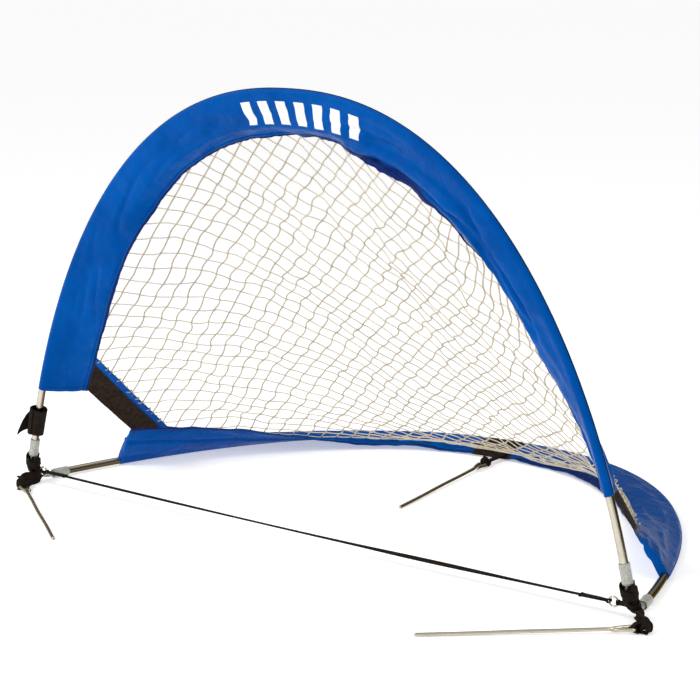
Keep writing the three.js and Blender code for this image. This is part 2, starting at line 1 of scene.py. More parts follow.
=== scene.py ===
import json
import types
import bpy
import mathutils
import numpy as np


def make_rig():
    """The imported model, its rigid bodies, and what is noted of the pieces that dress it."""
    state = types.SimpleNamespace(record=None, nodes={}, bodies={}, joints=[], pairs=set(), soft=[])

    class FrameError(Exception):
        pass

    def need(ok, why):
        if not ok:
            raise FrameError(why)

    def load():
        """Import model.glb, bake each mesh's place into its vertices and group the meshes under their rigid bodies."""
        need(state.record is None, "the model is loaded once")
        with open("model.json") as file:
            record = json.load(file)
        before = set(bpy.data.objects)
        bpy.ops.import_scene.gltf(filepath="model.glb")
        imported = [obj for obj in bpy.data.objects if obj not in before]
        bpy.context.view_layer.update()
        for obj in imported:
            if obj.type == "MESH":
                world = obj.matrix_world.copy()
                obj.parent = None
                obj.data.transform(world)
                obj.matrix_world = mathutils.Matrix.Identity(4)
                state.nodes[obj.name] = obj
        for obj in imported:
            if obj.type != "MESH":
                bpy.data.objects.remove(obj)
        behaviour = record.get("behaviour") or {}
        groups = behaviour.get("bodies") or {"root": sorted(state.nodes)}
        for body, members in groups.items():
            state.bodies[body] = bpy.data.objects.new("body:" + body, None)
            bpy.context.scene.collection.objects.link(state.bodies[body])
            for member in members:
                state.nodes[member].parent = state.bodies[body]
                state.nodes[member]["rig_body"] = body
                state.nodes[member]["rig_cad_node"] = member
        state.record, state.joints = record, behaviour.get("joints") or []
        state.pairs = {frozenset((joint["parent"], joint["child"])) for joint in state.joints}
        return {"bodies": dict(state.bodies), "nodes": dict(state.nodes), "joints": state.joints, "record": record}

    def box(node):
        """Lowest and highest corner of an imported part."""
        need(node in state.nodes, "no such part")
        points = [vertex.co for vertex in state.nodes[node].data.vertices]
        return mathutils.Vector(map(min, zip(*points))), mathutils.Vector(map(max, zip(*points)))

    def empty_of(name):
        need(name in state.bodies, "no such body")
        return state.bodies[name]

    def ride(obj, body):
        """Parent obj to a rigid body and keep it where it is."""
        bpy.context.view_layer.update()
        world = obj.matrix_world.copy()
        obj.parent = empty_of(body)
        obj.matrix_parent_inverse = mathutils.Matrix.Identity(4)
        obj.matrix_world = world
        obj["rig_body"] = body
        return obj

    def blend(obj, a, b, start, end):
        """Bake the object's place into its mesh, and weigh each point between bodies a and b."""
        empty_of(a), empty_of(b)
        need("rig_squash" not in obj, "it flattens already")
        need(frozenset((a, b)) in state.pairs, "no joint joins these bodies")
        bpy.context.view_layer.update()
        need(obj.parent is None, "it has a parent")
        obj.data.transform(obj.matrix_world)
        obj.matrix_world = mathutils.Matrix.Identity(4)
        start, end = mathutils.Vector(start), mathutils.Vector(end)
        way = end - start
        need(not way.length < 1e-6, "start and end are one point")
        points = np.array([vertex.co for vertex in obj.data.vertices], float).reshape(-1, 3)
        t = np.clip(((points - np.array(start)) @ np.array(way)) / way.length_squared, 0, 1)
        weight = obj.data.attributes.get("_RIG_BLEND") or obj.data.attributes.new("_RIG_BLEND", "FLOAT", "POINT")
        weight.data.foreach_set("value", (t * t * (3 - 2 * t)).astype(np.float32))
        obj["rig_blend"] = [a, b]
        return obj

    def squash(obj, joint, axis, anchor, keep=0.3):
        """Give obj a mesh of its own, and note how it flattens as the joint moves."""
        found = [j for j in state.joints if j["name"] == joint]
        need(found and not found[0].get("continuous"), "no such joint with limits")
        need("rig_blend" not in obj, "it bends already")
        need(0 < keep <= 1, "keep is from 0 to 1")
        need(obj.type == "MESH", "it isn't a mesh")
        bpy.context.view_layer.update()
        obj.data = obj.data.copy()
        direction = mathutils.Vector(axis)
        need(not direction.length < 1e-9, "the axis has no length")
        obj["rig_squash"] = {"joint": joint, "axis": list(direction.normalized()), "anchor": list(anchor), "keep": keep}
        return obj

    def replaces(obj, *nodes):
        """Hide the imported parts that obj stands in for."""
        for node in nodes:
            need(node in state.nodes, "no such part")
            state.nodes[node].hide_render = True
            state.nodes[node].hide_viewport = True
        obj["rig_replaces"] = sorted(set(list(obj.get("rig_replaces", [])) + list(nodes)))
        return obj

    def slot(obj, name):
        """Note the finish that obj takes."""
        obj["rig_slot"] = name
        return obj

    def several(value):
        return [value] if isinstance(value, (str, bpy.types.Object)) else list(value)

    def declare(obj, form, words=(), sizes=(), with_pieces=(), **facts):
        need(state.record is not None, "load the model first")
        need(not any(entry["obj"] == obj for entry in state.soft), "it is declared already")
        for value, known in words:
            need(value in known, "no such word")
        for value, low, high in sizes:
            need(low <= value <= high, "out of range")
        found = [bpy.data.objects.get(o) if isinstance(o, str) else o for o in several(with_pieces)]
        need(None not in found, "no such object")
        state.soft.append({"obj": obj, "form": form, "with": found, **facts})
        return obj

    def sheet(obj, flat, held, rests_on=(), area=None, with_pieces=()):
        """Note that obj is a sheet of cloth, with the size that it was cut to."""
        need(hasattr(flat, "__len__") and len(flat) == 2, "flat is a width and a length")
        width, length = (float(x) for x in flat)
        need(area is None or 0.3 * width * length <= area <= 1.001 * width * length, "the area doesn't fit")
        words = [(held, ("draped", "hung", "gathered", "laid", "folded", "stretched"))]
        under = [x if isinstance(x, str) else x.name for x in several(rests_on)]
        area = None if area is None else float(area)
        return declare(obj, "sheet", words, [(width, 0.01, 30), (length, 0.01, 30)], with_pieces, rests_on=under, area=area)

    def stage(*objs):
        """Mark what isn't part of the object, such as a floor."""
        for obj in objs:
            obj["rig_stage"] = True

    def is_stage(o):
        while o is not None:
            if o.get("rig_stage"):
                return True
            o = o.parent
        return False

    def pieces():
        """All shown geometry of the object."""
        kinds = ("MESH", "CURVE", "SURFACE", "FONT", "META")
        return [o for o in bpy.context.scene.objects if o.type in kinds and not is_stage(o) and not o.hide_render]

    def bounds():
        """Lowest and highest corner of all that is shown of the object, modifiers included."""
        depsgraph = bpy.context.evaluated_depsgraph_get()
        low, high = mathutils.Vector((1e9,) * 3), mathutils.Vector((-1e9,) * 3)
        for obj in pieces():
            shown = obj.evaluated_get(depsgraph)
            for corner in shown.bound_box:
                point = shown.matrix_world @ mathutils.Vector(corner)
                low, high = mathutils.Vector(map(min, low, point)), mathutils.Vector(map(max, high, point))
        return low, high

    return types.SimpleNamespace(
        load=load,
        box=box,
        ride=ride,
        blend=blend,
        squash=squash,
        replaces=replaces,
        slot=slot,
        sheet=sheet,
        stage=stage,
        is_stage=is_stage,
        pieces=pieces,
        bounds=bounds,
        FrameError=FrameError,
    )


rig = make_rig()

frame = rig.load()

import json
import math
import random

import bpy
import numpy as np
from mathutils import Vector, noise

cad_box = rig.bounds()
random.seed(7)

# ---- sizes, in metres, as in the CAD source -----------------------------------------------------
MOUTH_WIDTH = 1.22
RISE = 0.72
ARCH_POWER = 2.25
ARCH_CUT = math.radians(21)
LEAN = math.radians(1.6)
LINE_HEIGHT = 0.00866
CORNER_REACH = 0.044
TUBE_START, TUBE_LENGTH, TUBE_RADIUS = 0.062, 0.200, 0.00635
FERRULE_START, FERRULE_LENGTH, FERRULE_RADIUS = 0.046, 0.032, 0.009
ELBOW_RADIUS = 0.005
SLEEVE_START = {"upper": 0.178, "ground": 0.190}
LIFT_START = 0.155
POCKET_RADIUS = 0.0067
SLEEVE_RADIUS = {"upper": 0.0076, "ground": 0.0074}
BAND_WIDTH = 0.083
SLEEVE_GIRTH = 0.191       # round a sleeve, from its hem to its hem
UPPER_PITCH, CORNER_PITCH, REAR_PITCH = 7, 56, 5
LIFT_REACH = {"upper": 0.220, "left": 0.330, "right": 0.220}
REAR_PATCH_LENGTH, REAR_PATCH_OFFSET = 0.090, -0.037
NET_SAG = 0.120
GUSSET_WIDTH, GUSSET_SHARE = 0.077, 0.8
STRAP_HEIGHT = {"left": 0.027, "right": 0.023}
STRAP_INSET = 0.032
RING_RADIUS, RING_WIRE = 0.0075, 0.0016
PEG_LENGTH, PEG_RADIUS = 0.315, 0.00275
PEG_EYE_LENGTH, PEG_EYE_RADIUS, PEG_EYE_HEIGHT = 0.042, 0.007, 0.007
WEBBING = 0.0013
PIVOT_HEIGHT = 0.036345
STORAGE_STRAP_AT, STORAGE_STRAP_HEIGHT, STORAGE_STRAP_RADIUS = 0.114, 0.048, 0.0145

# The CAD model stands over the middle of its own footprint; its left strap ring, whose place in
# the mouth is known, gives the middle of the mouth line.
_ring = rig.box("left_strap_ring")
SHIFT = (np.array(_ring[0]) + np.array(_ring[1])) / 2 - np.array(
    [STRAP_INSET - MOUTH_WIDTH / 2, 0, STRAP_HEIGHT["left"]])


def vec(*c):
    return np.array(c, float)


def unit(v):
    v = np.asarray(v, float)
    return v / np.linalg.norm(v, axis=-1, keepdims=True)


def lerp(a, b, t):
    return a + (b - a) * t


# ---- mesh building ------------------------------------------------------------------------------
class Shape:
    """Collects grids and tubes, each with a material number and uv in metres, into one object."""

    def __init__(self):
        self.points, self.faces, self.mats, self.uvs, self.count = [], [], [], [], 0

    def add(self, points, faces, mat=0, uv=None):
        points = np.asarray(points, float).reshape(-1, 3)
        uv = np.zeros((len(points), 2)) if uv is None else np.asarray(uv, float).reshape(-1, 2)
        self.points.append(points)
        self.uvs.append(uv)
        self.faces += [tuple(i + self.count for i in f) for f in faces]
        self.mats += [mat] * len(faces)
        self.count += len(points)

    def grid(self, points, mat=0, uv=None, wrap_rows=False, wrap_cols=False):
        rows, cols = points.shape[:2]
        faces = [(i * cols + j, ((i + 1) % rows) * cols + j,
                  ((i + 1) % rows) * cols + (j + 1) % cols, i * cols + (j + 1) % cols)
                 for i in range(rows - (0 if wrap_rows else 1))
                 for j in range(cols - (0 if wrap_cols else 1))]
        self.add(points, faces, mat, uv)

    def loft(self, loops, mat=0, uv=None, closed=False, caps=True):
        """Skin through equal closed loops: an array (loops, side, 3)."""
        rows, side = loops.shape[:2]
        start = self.count
        self.grid(loops, mat, uv, wrap_rows=closed, wrap_cols=True)
        if caps and not closed:
            last = start + (rows - 1) * side
            self.faces += [tuple(range(start, start + side)),
                           tuple(reversed(range(last, last + side)))]
            self.mats += [mat] * 2

    def build(self, name, materials, smooth=True):
        mesh = bpy.data.meshes.new(name)
        points = np.concatenate(self.points)
        points[:, 2] = np.maximum(points[:, 2], 0.0003)      # nothing goes into the ground
        mesh.from_pydata(points.tolist(), [], self.faces)
        mesh.polygons.foreach_set("material_index", self.mats)
        layer = mesh.uv_layers.new(name="cloth")
        corners = np.empty(len(mesh.loops), dtype=np.int32)
        mesh.loops.foreach_get("vertex_index", corners)
        layer.data.foreach_set("uv", np.concatenate(self.uvs)[corners].astype(np.float32).ravel())
        mesh.polygons.foreach_set("use_smooth", [smooth] * len(mesh.polygons))
        for m in materials:
            mesh.materials.append(m)
        mesh.update()
        obj = bpy.data.objects.new(name, mesh)
        bpy.context.scene.collection.objects.link(obj)
        return obj


def carried_frames(path, closed=False):
    """Tangents and steady sideways and upward directions along a path."""
    path = np.asarray(path, float)
    if closed:
        t = unit(np.roll(path, -1, 0) - np.roll(path, 1, 0))
    else:
        t = unit(np.gradient(path, axis=0))
    side = np.zeros_like(path)
    start = vec(0, 0, 1) if abs(t[0][2]) < 0.9 else vec(1, 0, 0)
    side[0] = unit(np.cross(t[0], start))
    for i in range(1, len(path)):
        s = side[i - 1] - t[i] * np.dot(side[i - 1], t[i])
        side[i] = s / np.linalg.norm(s)
    return t, side, np.cross(side, t)


def tube_loops(path, radius, sides=12, closed=False):
    path = np.asarray(path, float)
    _, side, up = carried_frames(path, closed)
    a = np.arange(sides) / sides * 2 * math.pi
    radius = np.broadcast_to(np.asarray(radius, float), (len(path),))
    ring = (side[:, None] * np.cos(a)[None, :, None] + up[:, None] * np.sin(a)[None, :, None])
    return path[:, None] + ring * radius[:, None, None]


def length_uv(path, sides, girth):
    steps = np.concatenate([[0], np.cumsum(np.linalg.norm(np.diff(path, axis=0), axis=1))])
    around = np.arange(sides) / sides * girth
    return np.stack([np.repeat(steps[:, None], sides, 1),
                     np.repeat(around[None], len(path), 0)], -1)


def add_tube(shape, path, radius, sides=12, mat=0, closed=False, caps=True):
    path = np.asarray(path, float)
    girth = 2 * math.pi * float(np.max(radius))
    shape.loft(tube_loops(path, radius, sides, closed), mat, length_uv(path, sides, girth),
               closed, caps)


def add_strip(shape, path, wide, thin, width, thickness, mat=0, closed=False, edge=0.35):
    """Webbing: a flat bar with rounded edges along a path."""
    path, wide, thin = (np.asarray(a, float) for a in (path, wide, thin))
    width = np.broadcast_to(np.asarray(width, float), (len(path),))[:, None]
    outline = [(-1, 0), (-1 + edge * 0.3, 0.8), (-0.6, 1), (0, 1.06), (0.6, 1), (1 - edge * 0.3, 0.8),
               (1, 0), (1 - edge * 0.3, -0.8), (0.6, -1), (0, -1.06), (-0.6, -1),
               (-1 + edge * 0.3, -0.8)]
    loops = np.stack([path + wide * width / 2 * a + thin * thickness / 2 * b
                      for a, b in outline], 1)
    steps = np.concatenate([[0], np.cumsum(np.linalg.norm(np.diff(path, axis=0), axis=1))])
    uv = np.stack([np.stack([steps, width[:, 0] / 2 * a + (0.05 if b < 0 else 0)], -1)
                   for a, b in outline], 1)
    shape.loft(loops, mat, uv, closed)


def resample(path, step):
    path = np.asarray(path, float)
    d = np.concatenate([[0], np.cumsum(np.linalg.norm(np.diff(path, axis=0), axis=1))])
    n = max(2, int(round(d[-1] / step)) + 1)
    at = np.linspace(0, d[-1], n)
    return np.stack([np.interp(at, d, path[:, k]) for k in range(path.shape[1])], 1)


def rounded(points, step=0.002, closed=False):
    """A smooth curve through points."""
    p = np.asarray(points, float)
    n = len(p)
    out = []
    for i in range(n if closed else n - 1):
        a, b, c, d = (p[(i + k) % n] if closed else p[min(max(i + k, 0), n - 1)]
                      for k in (-1, 0, 1, 2))
        count = max(2, int(np.linalg.norm(c - b) / step))
        for t in np.arange(count) / count:
            out.append(0.5 * (2 * b + (c - a) * t + (2 * a - 5 * b + 4 * c - d) * t * t
                              + (3 * b - a - 3 * c + d) * t ** 3))
    if not closed:
        out.append(p[-1])
    return np.array(out)


def bezier(a, b, c, d, count):
    t = np.linspace(0, 1, count)[:, None]
    return ((1 - t) ** 3 * a + 3 * (1 - t) ** 2 * t * b + 3 * (1 - t) * t * t * c + t ** 3 * d)


def put(obj, body, *nodes, slot=None):
    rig.ride(obj, body)
    if nodes:
        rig.replaces(obj, *nodes)
    if slot:
        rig.slot(obj, slot)
    return obj


# ---- the arches ---------------------------------------------------------------------------------
def arch_line():
    power = 2 / ARCH_POWER
    foot = math.sin(ARCH_CUT) ** power
    t = math.pi - ARCH_CUT - np.linspace(0, 1, 4001) * (math.pi - 2 * ARCH_CUT)
    x = np.sign(np.cos(t)) * np.abs(np.cos(t)) ** power
    flat = np.stack([x * MOUTH_WIDTH / 2 / math.cos(ARCH_CUT) ** power,
                     RISE * (np.sin(t) ** power - foot) / (1 - foot)], 1)
    d = np.concatenate([[0], np.cumsum(np.linalg.norm(np.diff(flat, axis=0), axis=1))])
    return flat, d


FLAT, WALKED = arch_line()
ARCH_LENGTH = float(WALKED[-1])
APEX = ARCH_LENGTH / 2


def arch(level, at):
    """Centre point, inward direction and out-of-plane direction at walked distances."""
    at = np.atleast_1d(np.asarray(at, float))
    x = np.interp(at, WALKED, FLAT[:, 0])
    h = np.interp(at, WALKED, FLAT[:, 1])
    e = 0.004
    a, b = np.clip(at - e, 0, ARCH_LENGTH), np.clip(at + e, 0, ARCH_LENGTH)
    tx = np.interp(b, WALKED, FLAT[:, 0]) - np.interp(a, WALKED, FLAT[:, 0])
    th = np.interp(b, WALKED, FLAT[:, 1]) - np.interp(a, WALKED, FLAT[:, 1])
    n = unit(np.stack([th, -tx], 1))
    zero = 0 * x
    if level == "upper":
        p = np.stack([x, -h * math.sin(LEAN), LINE_HEIGHT + h * math.cos(LEAN)], 1)
        inward = np.stack([n[:, 0], -n[:, 1] * math.sin(LEAN), n[:, 1] * math.cos(LEAN)], 1)
        out = np.broadcast_to(vec(0, math.cos(LEAN), math.sin(LEAN)), p.shape)
    else:
        p = np.stack([x, h, zero + LINE_HEIGHT], 1)
        inward = np.stack([n[:, 0], n[:, 1], zero], 1)
        out = np.broadcast_to(vec(0, 0, 1), p.shape)
    return p + SHIFT, inward, out


def foot_span(side, start, length):
    return (start, start + length) if side == "left" else (
        ARCH_LENGTH - start - length, ARCH_LENGTH - start)


def band_pitch(level, at):
    left = at < ARCH_LENGTH / 2
    from_start = np.where(left, at, ARCH_LENGTH - at) - LIFT_START
    from_start = np.maximum(from_start, 0)
    if level == "upper":
        middle, reach = UPPER_PITCH, LIFT_REACH["upper"]
    else:
        middle, reach = REAR_PITCH, np.where(left, LIFT_REACH["left"], LIFT_REACH["right"])
    pitch = middle + (CORNER_PITCH - middle) * np.exp(-(from_start / reach) ** 2)
    return np.radians(pitch)


def band_frame(level, at):
    p, n, b = arch(level, at)
    a = band_pitch(level, np.atleast_1d(at))[:, None]
    return p, n * np.cos(a) + b * np.sin(a), b * np.cos(a) - n * np.sin(a)


def band_point(level, at, w):
    p, d, _ = band_frame(level, at)
    return p + d * np.atleast_1d(np.asarray(w, float))[:, None]


PIVOT = vec(0, 0, PIVOT_HEIGHT) + SHIFT
UPPER_NORMAL = (0, math.cos(LEAN), math.sin(LEAN))
FLATTEN = {
    "ground_frame": dict(axis=(0, 0, 1), anchor=tuple(PIVOT + vec(0, 0, -0.017))),
    "upper_frame": dict(axis=UPPER_NORMAL, anchor=tuple(PIVOT + vec(0, 0.007, 0))),
}


def put_soft(obj, body, *nodes, slot=None):
    """A cloth or cord piece that flattens into its arch's plane as the goal folds."""
    put(obj, body, *nodes, slot=slot)
    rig.squash(obj, "arch_fold", keep=0.05, **FLATTEN[body])
    return obj


# ---- camera -------------------------------------------------------------------------------------
CAMERA_PLACE = vec(1.830, -2.345, 0.953)
CAMERA_YAW, CAMERA_PITCH = math.radians(36.34), math.radians(11.98)
camera_data = bpy.data.cameras.new("camera")
camera_data.lens = 98.39
camera_data.sensor_width = 36
camera_data.clip_start, camera_data.clip_end = 0.05, 200
camera = bpy.data.objects.new("camera", camera_data)
bpy.context.scene.collection.objects.link(camera)
bpy.context.scene.camera = camera
camera.location = CAMERA_PLACE + SHIFT
camera.rotation_euler = (math.pi / 2 - CAMERA_PITCH, 0, CAMERA_YAW)

# ---- materials ----------------------------------------------------------------------------------
class Look:
    """A principled material with helpers for procedural detail."""

    def __init__(self, name, color, roughness, metallic=0.0, **sockets):
        self.mat = bpy.data.materials.new(name)
        self.mat.use_nodes = True
        self.tree = self.mat.node_tree
        self.shader = self.tree.nodes["Principled BSDF"]
        self.set(**{"Base Color": (*color, 1), "Roughness": roughness, "Metallic": metallic})
        self.set(**sockets)

    def set(self, **sockets):
        for key, value in sockets.items():
            self.shader.inputs[key].default_value = value

    def node(self, kind, **inputs):
        n = self.tree.nodes.new(kind)
        for key, value in inputs.items():
            n.inputs[key].default_value = value
        return n

    def link(self, a, b):
        self.tree.links.new(a, b)

    def coords(self, which="Object", scale=(1, 1, 1)):
        c = self.node("ShaderNodeTexCoord")
        m = self.node("ShaderNodeMapping")
        m.inputs["Scale"].default_value = scale
        self.link(c.outputs[which], m.inputs["Vector"])
        return m.outputs["Vector"]

    def noise(self, scale, detail=3, rough=0.5, coords=None):
        n = self.node("ShaderNodeTexNoise", Scale=scale, Detail=detail, Roughness=rough)
        self.link(coords or self.coords(), n.inputs["Vector"])
        return n.outputs["Fac"]

    def mix_color(self, fac, a, b):
        m = self.node("ShaderNodeMix")
        m.data_type = "RGBA"
        self.link(fac, m.inputs["Factor"])
        for socket, value in ((m.inputs[6], a), (m.inputs[7], b)):
            if isinstance(value, tuple):
                socket.default_value = (*value, 1)
            else:
                self.link(value, socket)
        return m.outputs[2]

    def ramp(self, fac, low, high, a=0.0, b=1.0):
        r = self.node("ShaderNodeMapRange")
        r.inputs["From Min"].default_value, r.inputs["From Max"].default_value = low, high
        r.inputs["To Min"].default_value, r.inputs["To Max"].default_value = a, b
        self.link(fac, r.inputs["Value"])
        return r.outputs["Result"]

    def math(self, op, a, b):
        m = self.node("ShaderNodeMath")
        m.operation = op
        for socket, value in zip(m.inputs, (a, b)):
            if isinstance(value, (int, float)):
                socket.default_value = value
            else:
                self.link(value, socket)
        return m.outputs[0]

    def weave(self, pitch):
        """Over-and-under threads along both uv directions, as a height from 0 to 1."""
        uv = self.coords("UV", (1 / pitch, 1 / pitch, 1))
        heights = []
        for direction in ("X", "Y"):
            w = self.node("ShaderNodeTexWave", Scale=1 / 3.14159)
            w.bands_direction = direction
            self.link(uv, w.inputs["Vector"])
            heights.append(w.outputs["Fac"])
        return self.math("MULTIPLY", *heights)

    def bump(self, height, distance, strength=1.0, after=None):
        b = self.node("ShaderNodeBump", Distance=distance, Strength=strength)
        self.link(height, b.inputs["Height"])
        if after is not None:
            self.link(after, b.inputs["Normal"])
        self.link(b.outputs["Normal"], self.shader.inputs["Normal"])
        return b.outputs["Normal"]


# direction of the metal's side that gets a painted dark reflection
PAINTED_SHADE_SIDE = (math.cos(CAMERA_YAW), math.sin(CAMERA_YAW), -0.25)


def make_looks():
    looks = {}

    nylon = Look("blue_nylon", (0.0008, 0.082, 0.42), 0.4, **{
        "Specular IOR Level": 0.08, "Specular Tint": (0.01, 0.34, 1.0, 1)})
    shade = nylon.ramp(nylon.noise(9, 4, 0.6), 0.3, 0.7)
    blue = nylon.mix_color(shade, (0.0003, 0.056, 0.270), (0.0006, 0.086, 0.380))
    # the turned hem is painted darker, painted shade of the strip turned back, and widest on the right-hand half of the
    # goal
    uv = nylon.node("ShaderNodeSeparateXYZ")
    nylon.link(nylon.coords("UV"), uv.inputs[0])
    round_sleeve = uv.outputs["Y"]
    from_hem = nylon.math("MINIMUM", round_sleeve,
                          nylon.math("SUBTRACT", SLEEVE_GIRTH, round_sleeve))
    hem_shade_width = nylon.ramp(uv.outputs["X"], ARCH_LENGTH * 0.48, ARCH_LENGTH * 0.62, 0.0026, 0.0125)
    hem = nylon.ramp(nylon.math("SUBTRACT", from_hem, hem_shade_width), -0.0006, 0.0006, 1.0, 0.0)
    nylon.link(nylon.mix_color(hem, blue, (0.009, 0.022, 0.13)), nylon.shader.inputs["Base Color"])
    nylon.link(nylon.ramp(nylon.noise(40, 5, 0.6), 0.3, 0.7, 0.24, 0.40),
               nylon.shader.inputs["Roughness"])
    soft = nylon.bump(nylon.noise(30, 4, 0.5), 0.008, 0.6)
    nylon.bump(nylon.weave(0.0009), 0.00015, 0.5, after=soft)
    looks["nylon"] = nylon.mat

    for name, color, pitch, rough in (("black_fabric", (0.0135, 0.0090, 0.0058), 0.0022, 0.85),
                                      ("webbing", (0.0080, 0.0055, 0.0040), 0.0016, 0.8)):
        cloth = Look(name, color, rough, **{"Specular IOR Level": 0.12,
                                             "Specular Tint": (1.0, 0.85, 0.7, 1)})
        cloth.link(cloth.mix_color(cloth.ramp(cloth.noise(120, 5, 0.6), 0.35, 0.7), color,
                                   tuple(c * 2.4 for c in color)),
                   cloth.shader.inputs["Base Color"])
        cloth.bump(cloth.weave(pitch), 0.0006, 0.8)
        looks[name] = cloth.mat

    for name, light, dark in (("net_cord", (0.62, 0.53, 0.39), (0.40, 0.33, 0.23)),
                              ("net_cord_light", (0.78, 0.71, 0.57), (0.56, 0.49, 0.37))):
        cord = Look(name, light, 0.75, **{"Sheen Weight": 0.2})
        uv = cord.coords("UV", (1, 0.5, 1))
        twist = cord.node("ShaderNodeTexWave", Scale=160.0, Distortion=0.6)
        twist.bands_direction = "DIAGONAL"
        cord.link(uv, twist.inputs["Vector"])
        fuzz = cord.noise(260, 3, 0.6)
        cord.link(cord.mix_color(cord.ramp(cord.noise(30, 4, 0.6), 0.35, 0.75), light, dark),
                  cord.shader.inputs["Base Color"])
        cord.bump(cord.math("ADD", twist.outputs["Fac"], fuzz), 0.0005, 0.7)
        looks[name] = cord.mat

    for name, color, rough in (("steel", (0.60, 0.55, 0.45), 0.14),
                               ("peg_steel", (0.54, 0.49, 0.38), 0.22)):
        metal = Look(name, color, rough, 1.0, **{"Specular Tint": (0.42, 0.36, 0.27, 1)})
        smear = metal.ramp(metal.noise(70, 5, 0.65), 0.35, 0.7, rough * 0.75, rough * 1.7)
        metal.link(smear, metal.shader.inputs["Roughness"])
        worn = metal.mix_color(metal.ramp(metal.noise(35, 5, 0.7), 0.45, 0.8), color,
                               tuple(c * 0.8 for c in color))
        # one side of the bright metal is painted darker: a painted dark reflection, fixed to a world direction
        facing = metal.node("ShaderNodeVectorMath")
        facing.operation = "DOT_PRODUCT"
        facing.inputs[1].default_value = PAINTED_SHADE_SIDE
        metal.link(metal.node("ShaderNodeNewGeometry").outputs["Normal"], facing.inputs[0])
        metal.link(metal.mix_color(metal.ramp(facing.outputs["Value"], 0.22, 0.60), worn,
                                   (0.11, 0.085, 0.055)), metal.shader.inputs["Base Color"])
        metal.bump(metal.noise(900, 2, 0.5), 0.0002, 0.12)
        looks[name] = metal.mat

    clear = Look("clear_plastic", (0.72, 0.73, 0.65), 0.3, **{"Transmission Weight": 0.4,
                 "IOR": 1.45, "Coat Weight": 0.3})
    grip = clear.ramp(clear.noise(420, 2, 0.5), 0.4, 0.6)
    clear.link(clear.mix_color(grip, (0.55, 0.55, 0.46), (0.80, 0.81, 0.75)),
               clear.shader.inputs["Base Color"])
    clear.bump(grip, 0.0009, 0.8)
    looks["clear"] = clear.mat

    elbow = Look("corner_plastic", (0.40, 0.41, 0.38), 0.35, **{"Transmission Weight": 0.35,
                 "IOR": 1.45})
    elbow.bump(elbow.noise(120, 3, 0.5), 0.0005, 0.3)
    looks["elbow"] = elbow.mat

    looks["fibre"] = Look("glass_fibre", (0.62, 0.60, 0.54), 0.45).mat
    thread = Look("thread", (0.002, 0.010, 0.050), 0.8, **{"Specular IOR Level": 0.1})
    looks["thread"] = thread.mat
    looks["dark_thread"] = Look("dark_thread", (0.03, 0.026, 0.024), 0.7).mat
    ink = Look("white_print", (0.78, 0.79, 0.80), 0.5)
    ink.link(ink.mix_color(ink.ramp(ink.noise(420, 3, 0.6), 0.62, 0.72), (0.80, 0.81, 0.82),
                           (0.36, 0.45, 0.66)), ink.shader.inputs["Base Color"])
    looks["ink"] = ink.mat
    looks["floor"] = Look("floor", (0.92, 0.92, 0.92), 0.85, **{
        "Emission Color": (1, 1, 1, 1), "Emission Strength": 0.42}).mat
    return looks


LOOKS = make_looks()

# ---- poles, ferrules and flexible corners -------------------------------------------------------
def arch_path(level, start, end, step=0.006):
    return arch(level, np.linspace(start, end, max(3, int((end - start) / step))))[0]


def hollow(shape, path, radius, bore, sides=20, mat=0, lip=0.0006):
    """A pipe with softened end rims."""
    steps = len(path)
    grow = np.zeros(steps)
    grow[0] = grow[-1] = lip
    outer = tube_loops(path, radius - grow, sides)
    inner = tube_loops(path, bore + grow * 0.4, sides)[::-1]
    loops = np.concatenate([outer, inner])
    shape.loft(loops, mat, None, closed=True)


for level, body in (("upper", "upper_frame"), ("ground", "ground_frame")):
    rod = Shape()
    add_tube(rod, arch_path(level, 0.200, ARCH_LENGTH - 0.200, 0.02), 0.0045, 10)
    put(rod.build(f"{level}_core", [LOOKS["fibre"]]), body, f"{level}_rod", slot="glass_fibre")
    for side in ("left", "right"):
        tube = Shape()
        hollow(tube, arch_path(level, *foot_span(side, TUBE_START, TUBE_LENGTH)), TUBE_RADIUS,
               0.0053, 24)
        put(tube.build(f"{level}_{side}_pole", [LOOKS["steel"]]), body,
            f"{level}_{side}_tube", slot="steel")
        ferrule = Shape()
        span = foot_span(side, FERRULE_START, FERRULE_LENGTH)
        hollow(ferrule, arch_path(level, *span, 0.0025), FERRULE_RADIUS - 0.0004, 0.0067, 28,
               lip=0.0008)
        put(ferrule.build(f"{level}_{side}_sleeve_end", [LOOKS["clear"]]), body,
            f"{level}_{side}_ferrule", slot="clear_plastic")


def corner_path(side):
    """Centre line of a flexible corner, from the upright ferrule to the ground one."""
    def foot(level, distance):
        at = distance if side == "left" else ARCH_LENGTH - distance
        return arch(level, at)[0][0]
    a, b, c = foot("upper", CORNER_REACH), foot("upper", 0.0005), foot("ground", CORNER_REACH)
    t = np.linspace(0, 1, 25)[:, None]
    bend = (1 - t) ** 2 * a + 2 * (1 - t) * t * b + t * t * c
    return np.concatenate([[foot("upper", TUBE_START - 0.0003)], bend,
                           [foot("ground", TUBE_START - 0.0003)]])


def bend_span(side):
    path = corner_path(side)
    return dict(start=tuple(path[-2]), end=tuple(path[1]))


for side in ("left", "right"):
    elbow = Shape()
    add_tube(elbow, corner_path(side), ELBOW_RADIUS, 20)
    piece = elbow.build(f"{side}_corner_tube", [LOOKS["elbow"]])
    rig.blend(piece, "ground_frame", "upper_frame", **bend_span(side))
    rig.replaces(piece, f"{side}_elbow")
    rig.slot(piece, "corner_plastic")

# ---- sleeves ------------------------------------------------------------------------------------
CLOSED_AT = 0.0735         # the sleeve's two layers are sewn together from here to the inner edge
TURN_AT = 0.050            # distance from the pole at which the upright sleeve turns back
TURNED_BACK, FURTHEST_BACK = math.radians(58), math.radians(62)
TOP_TURNED_BACK = math.radians(46)


def ripple(x, y, key):
    return noise.noise(Vector((x, y, key)))


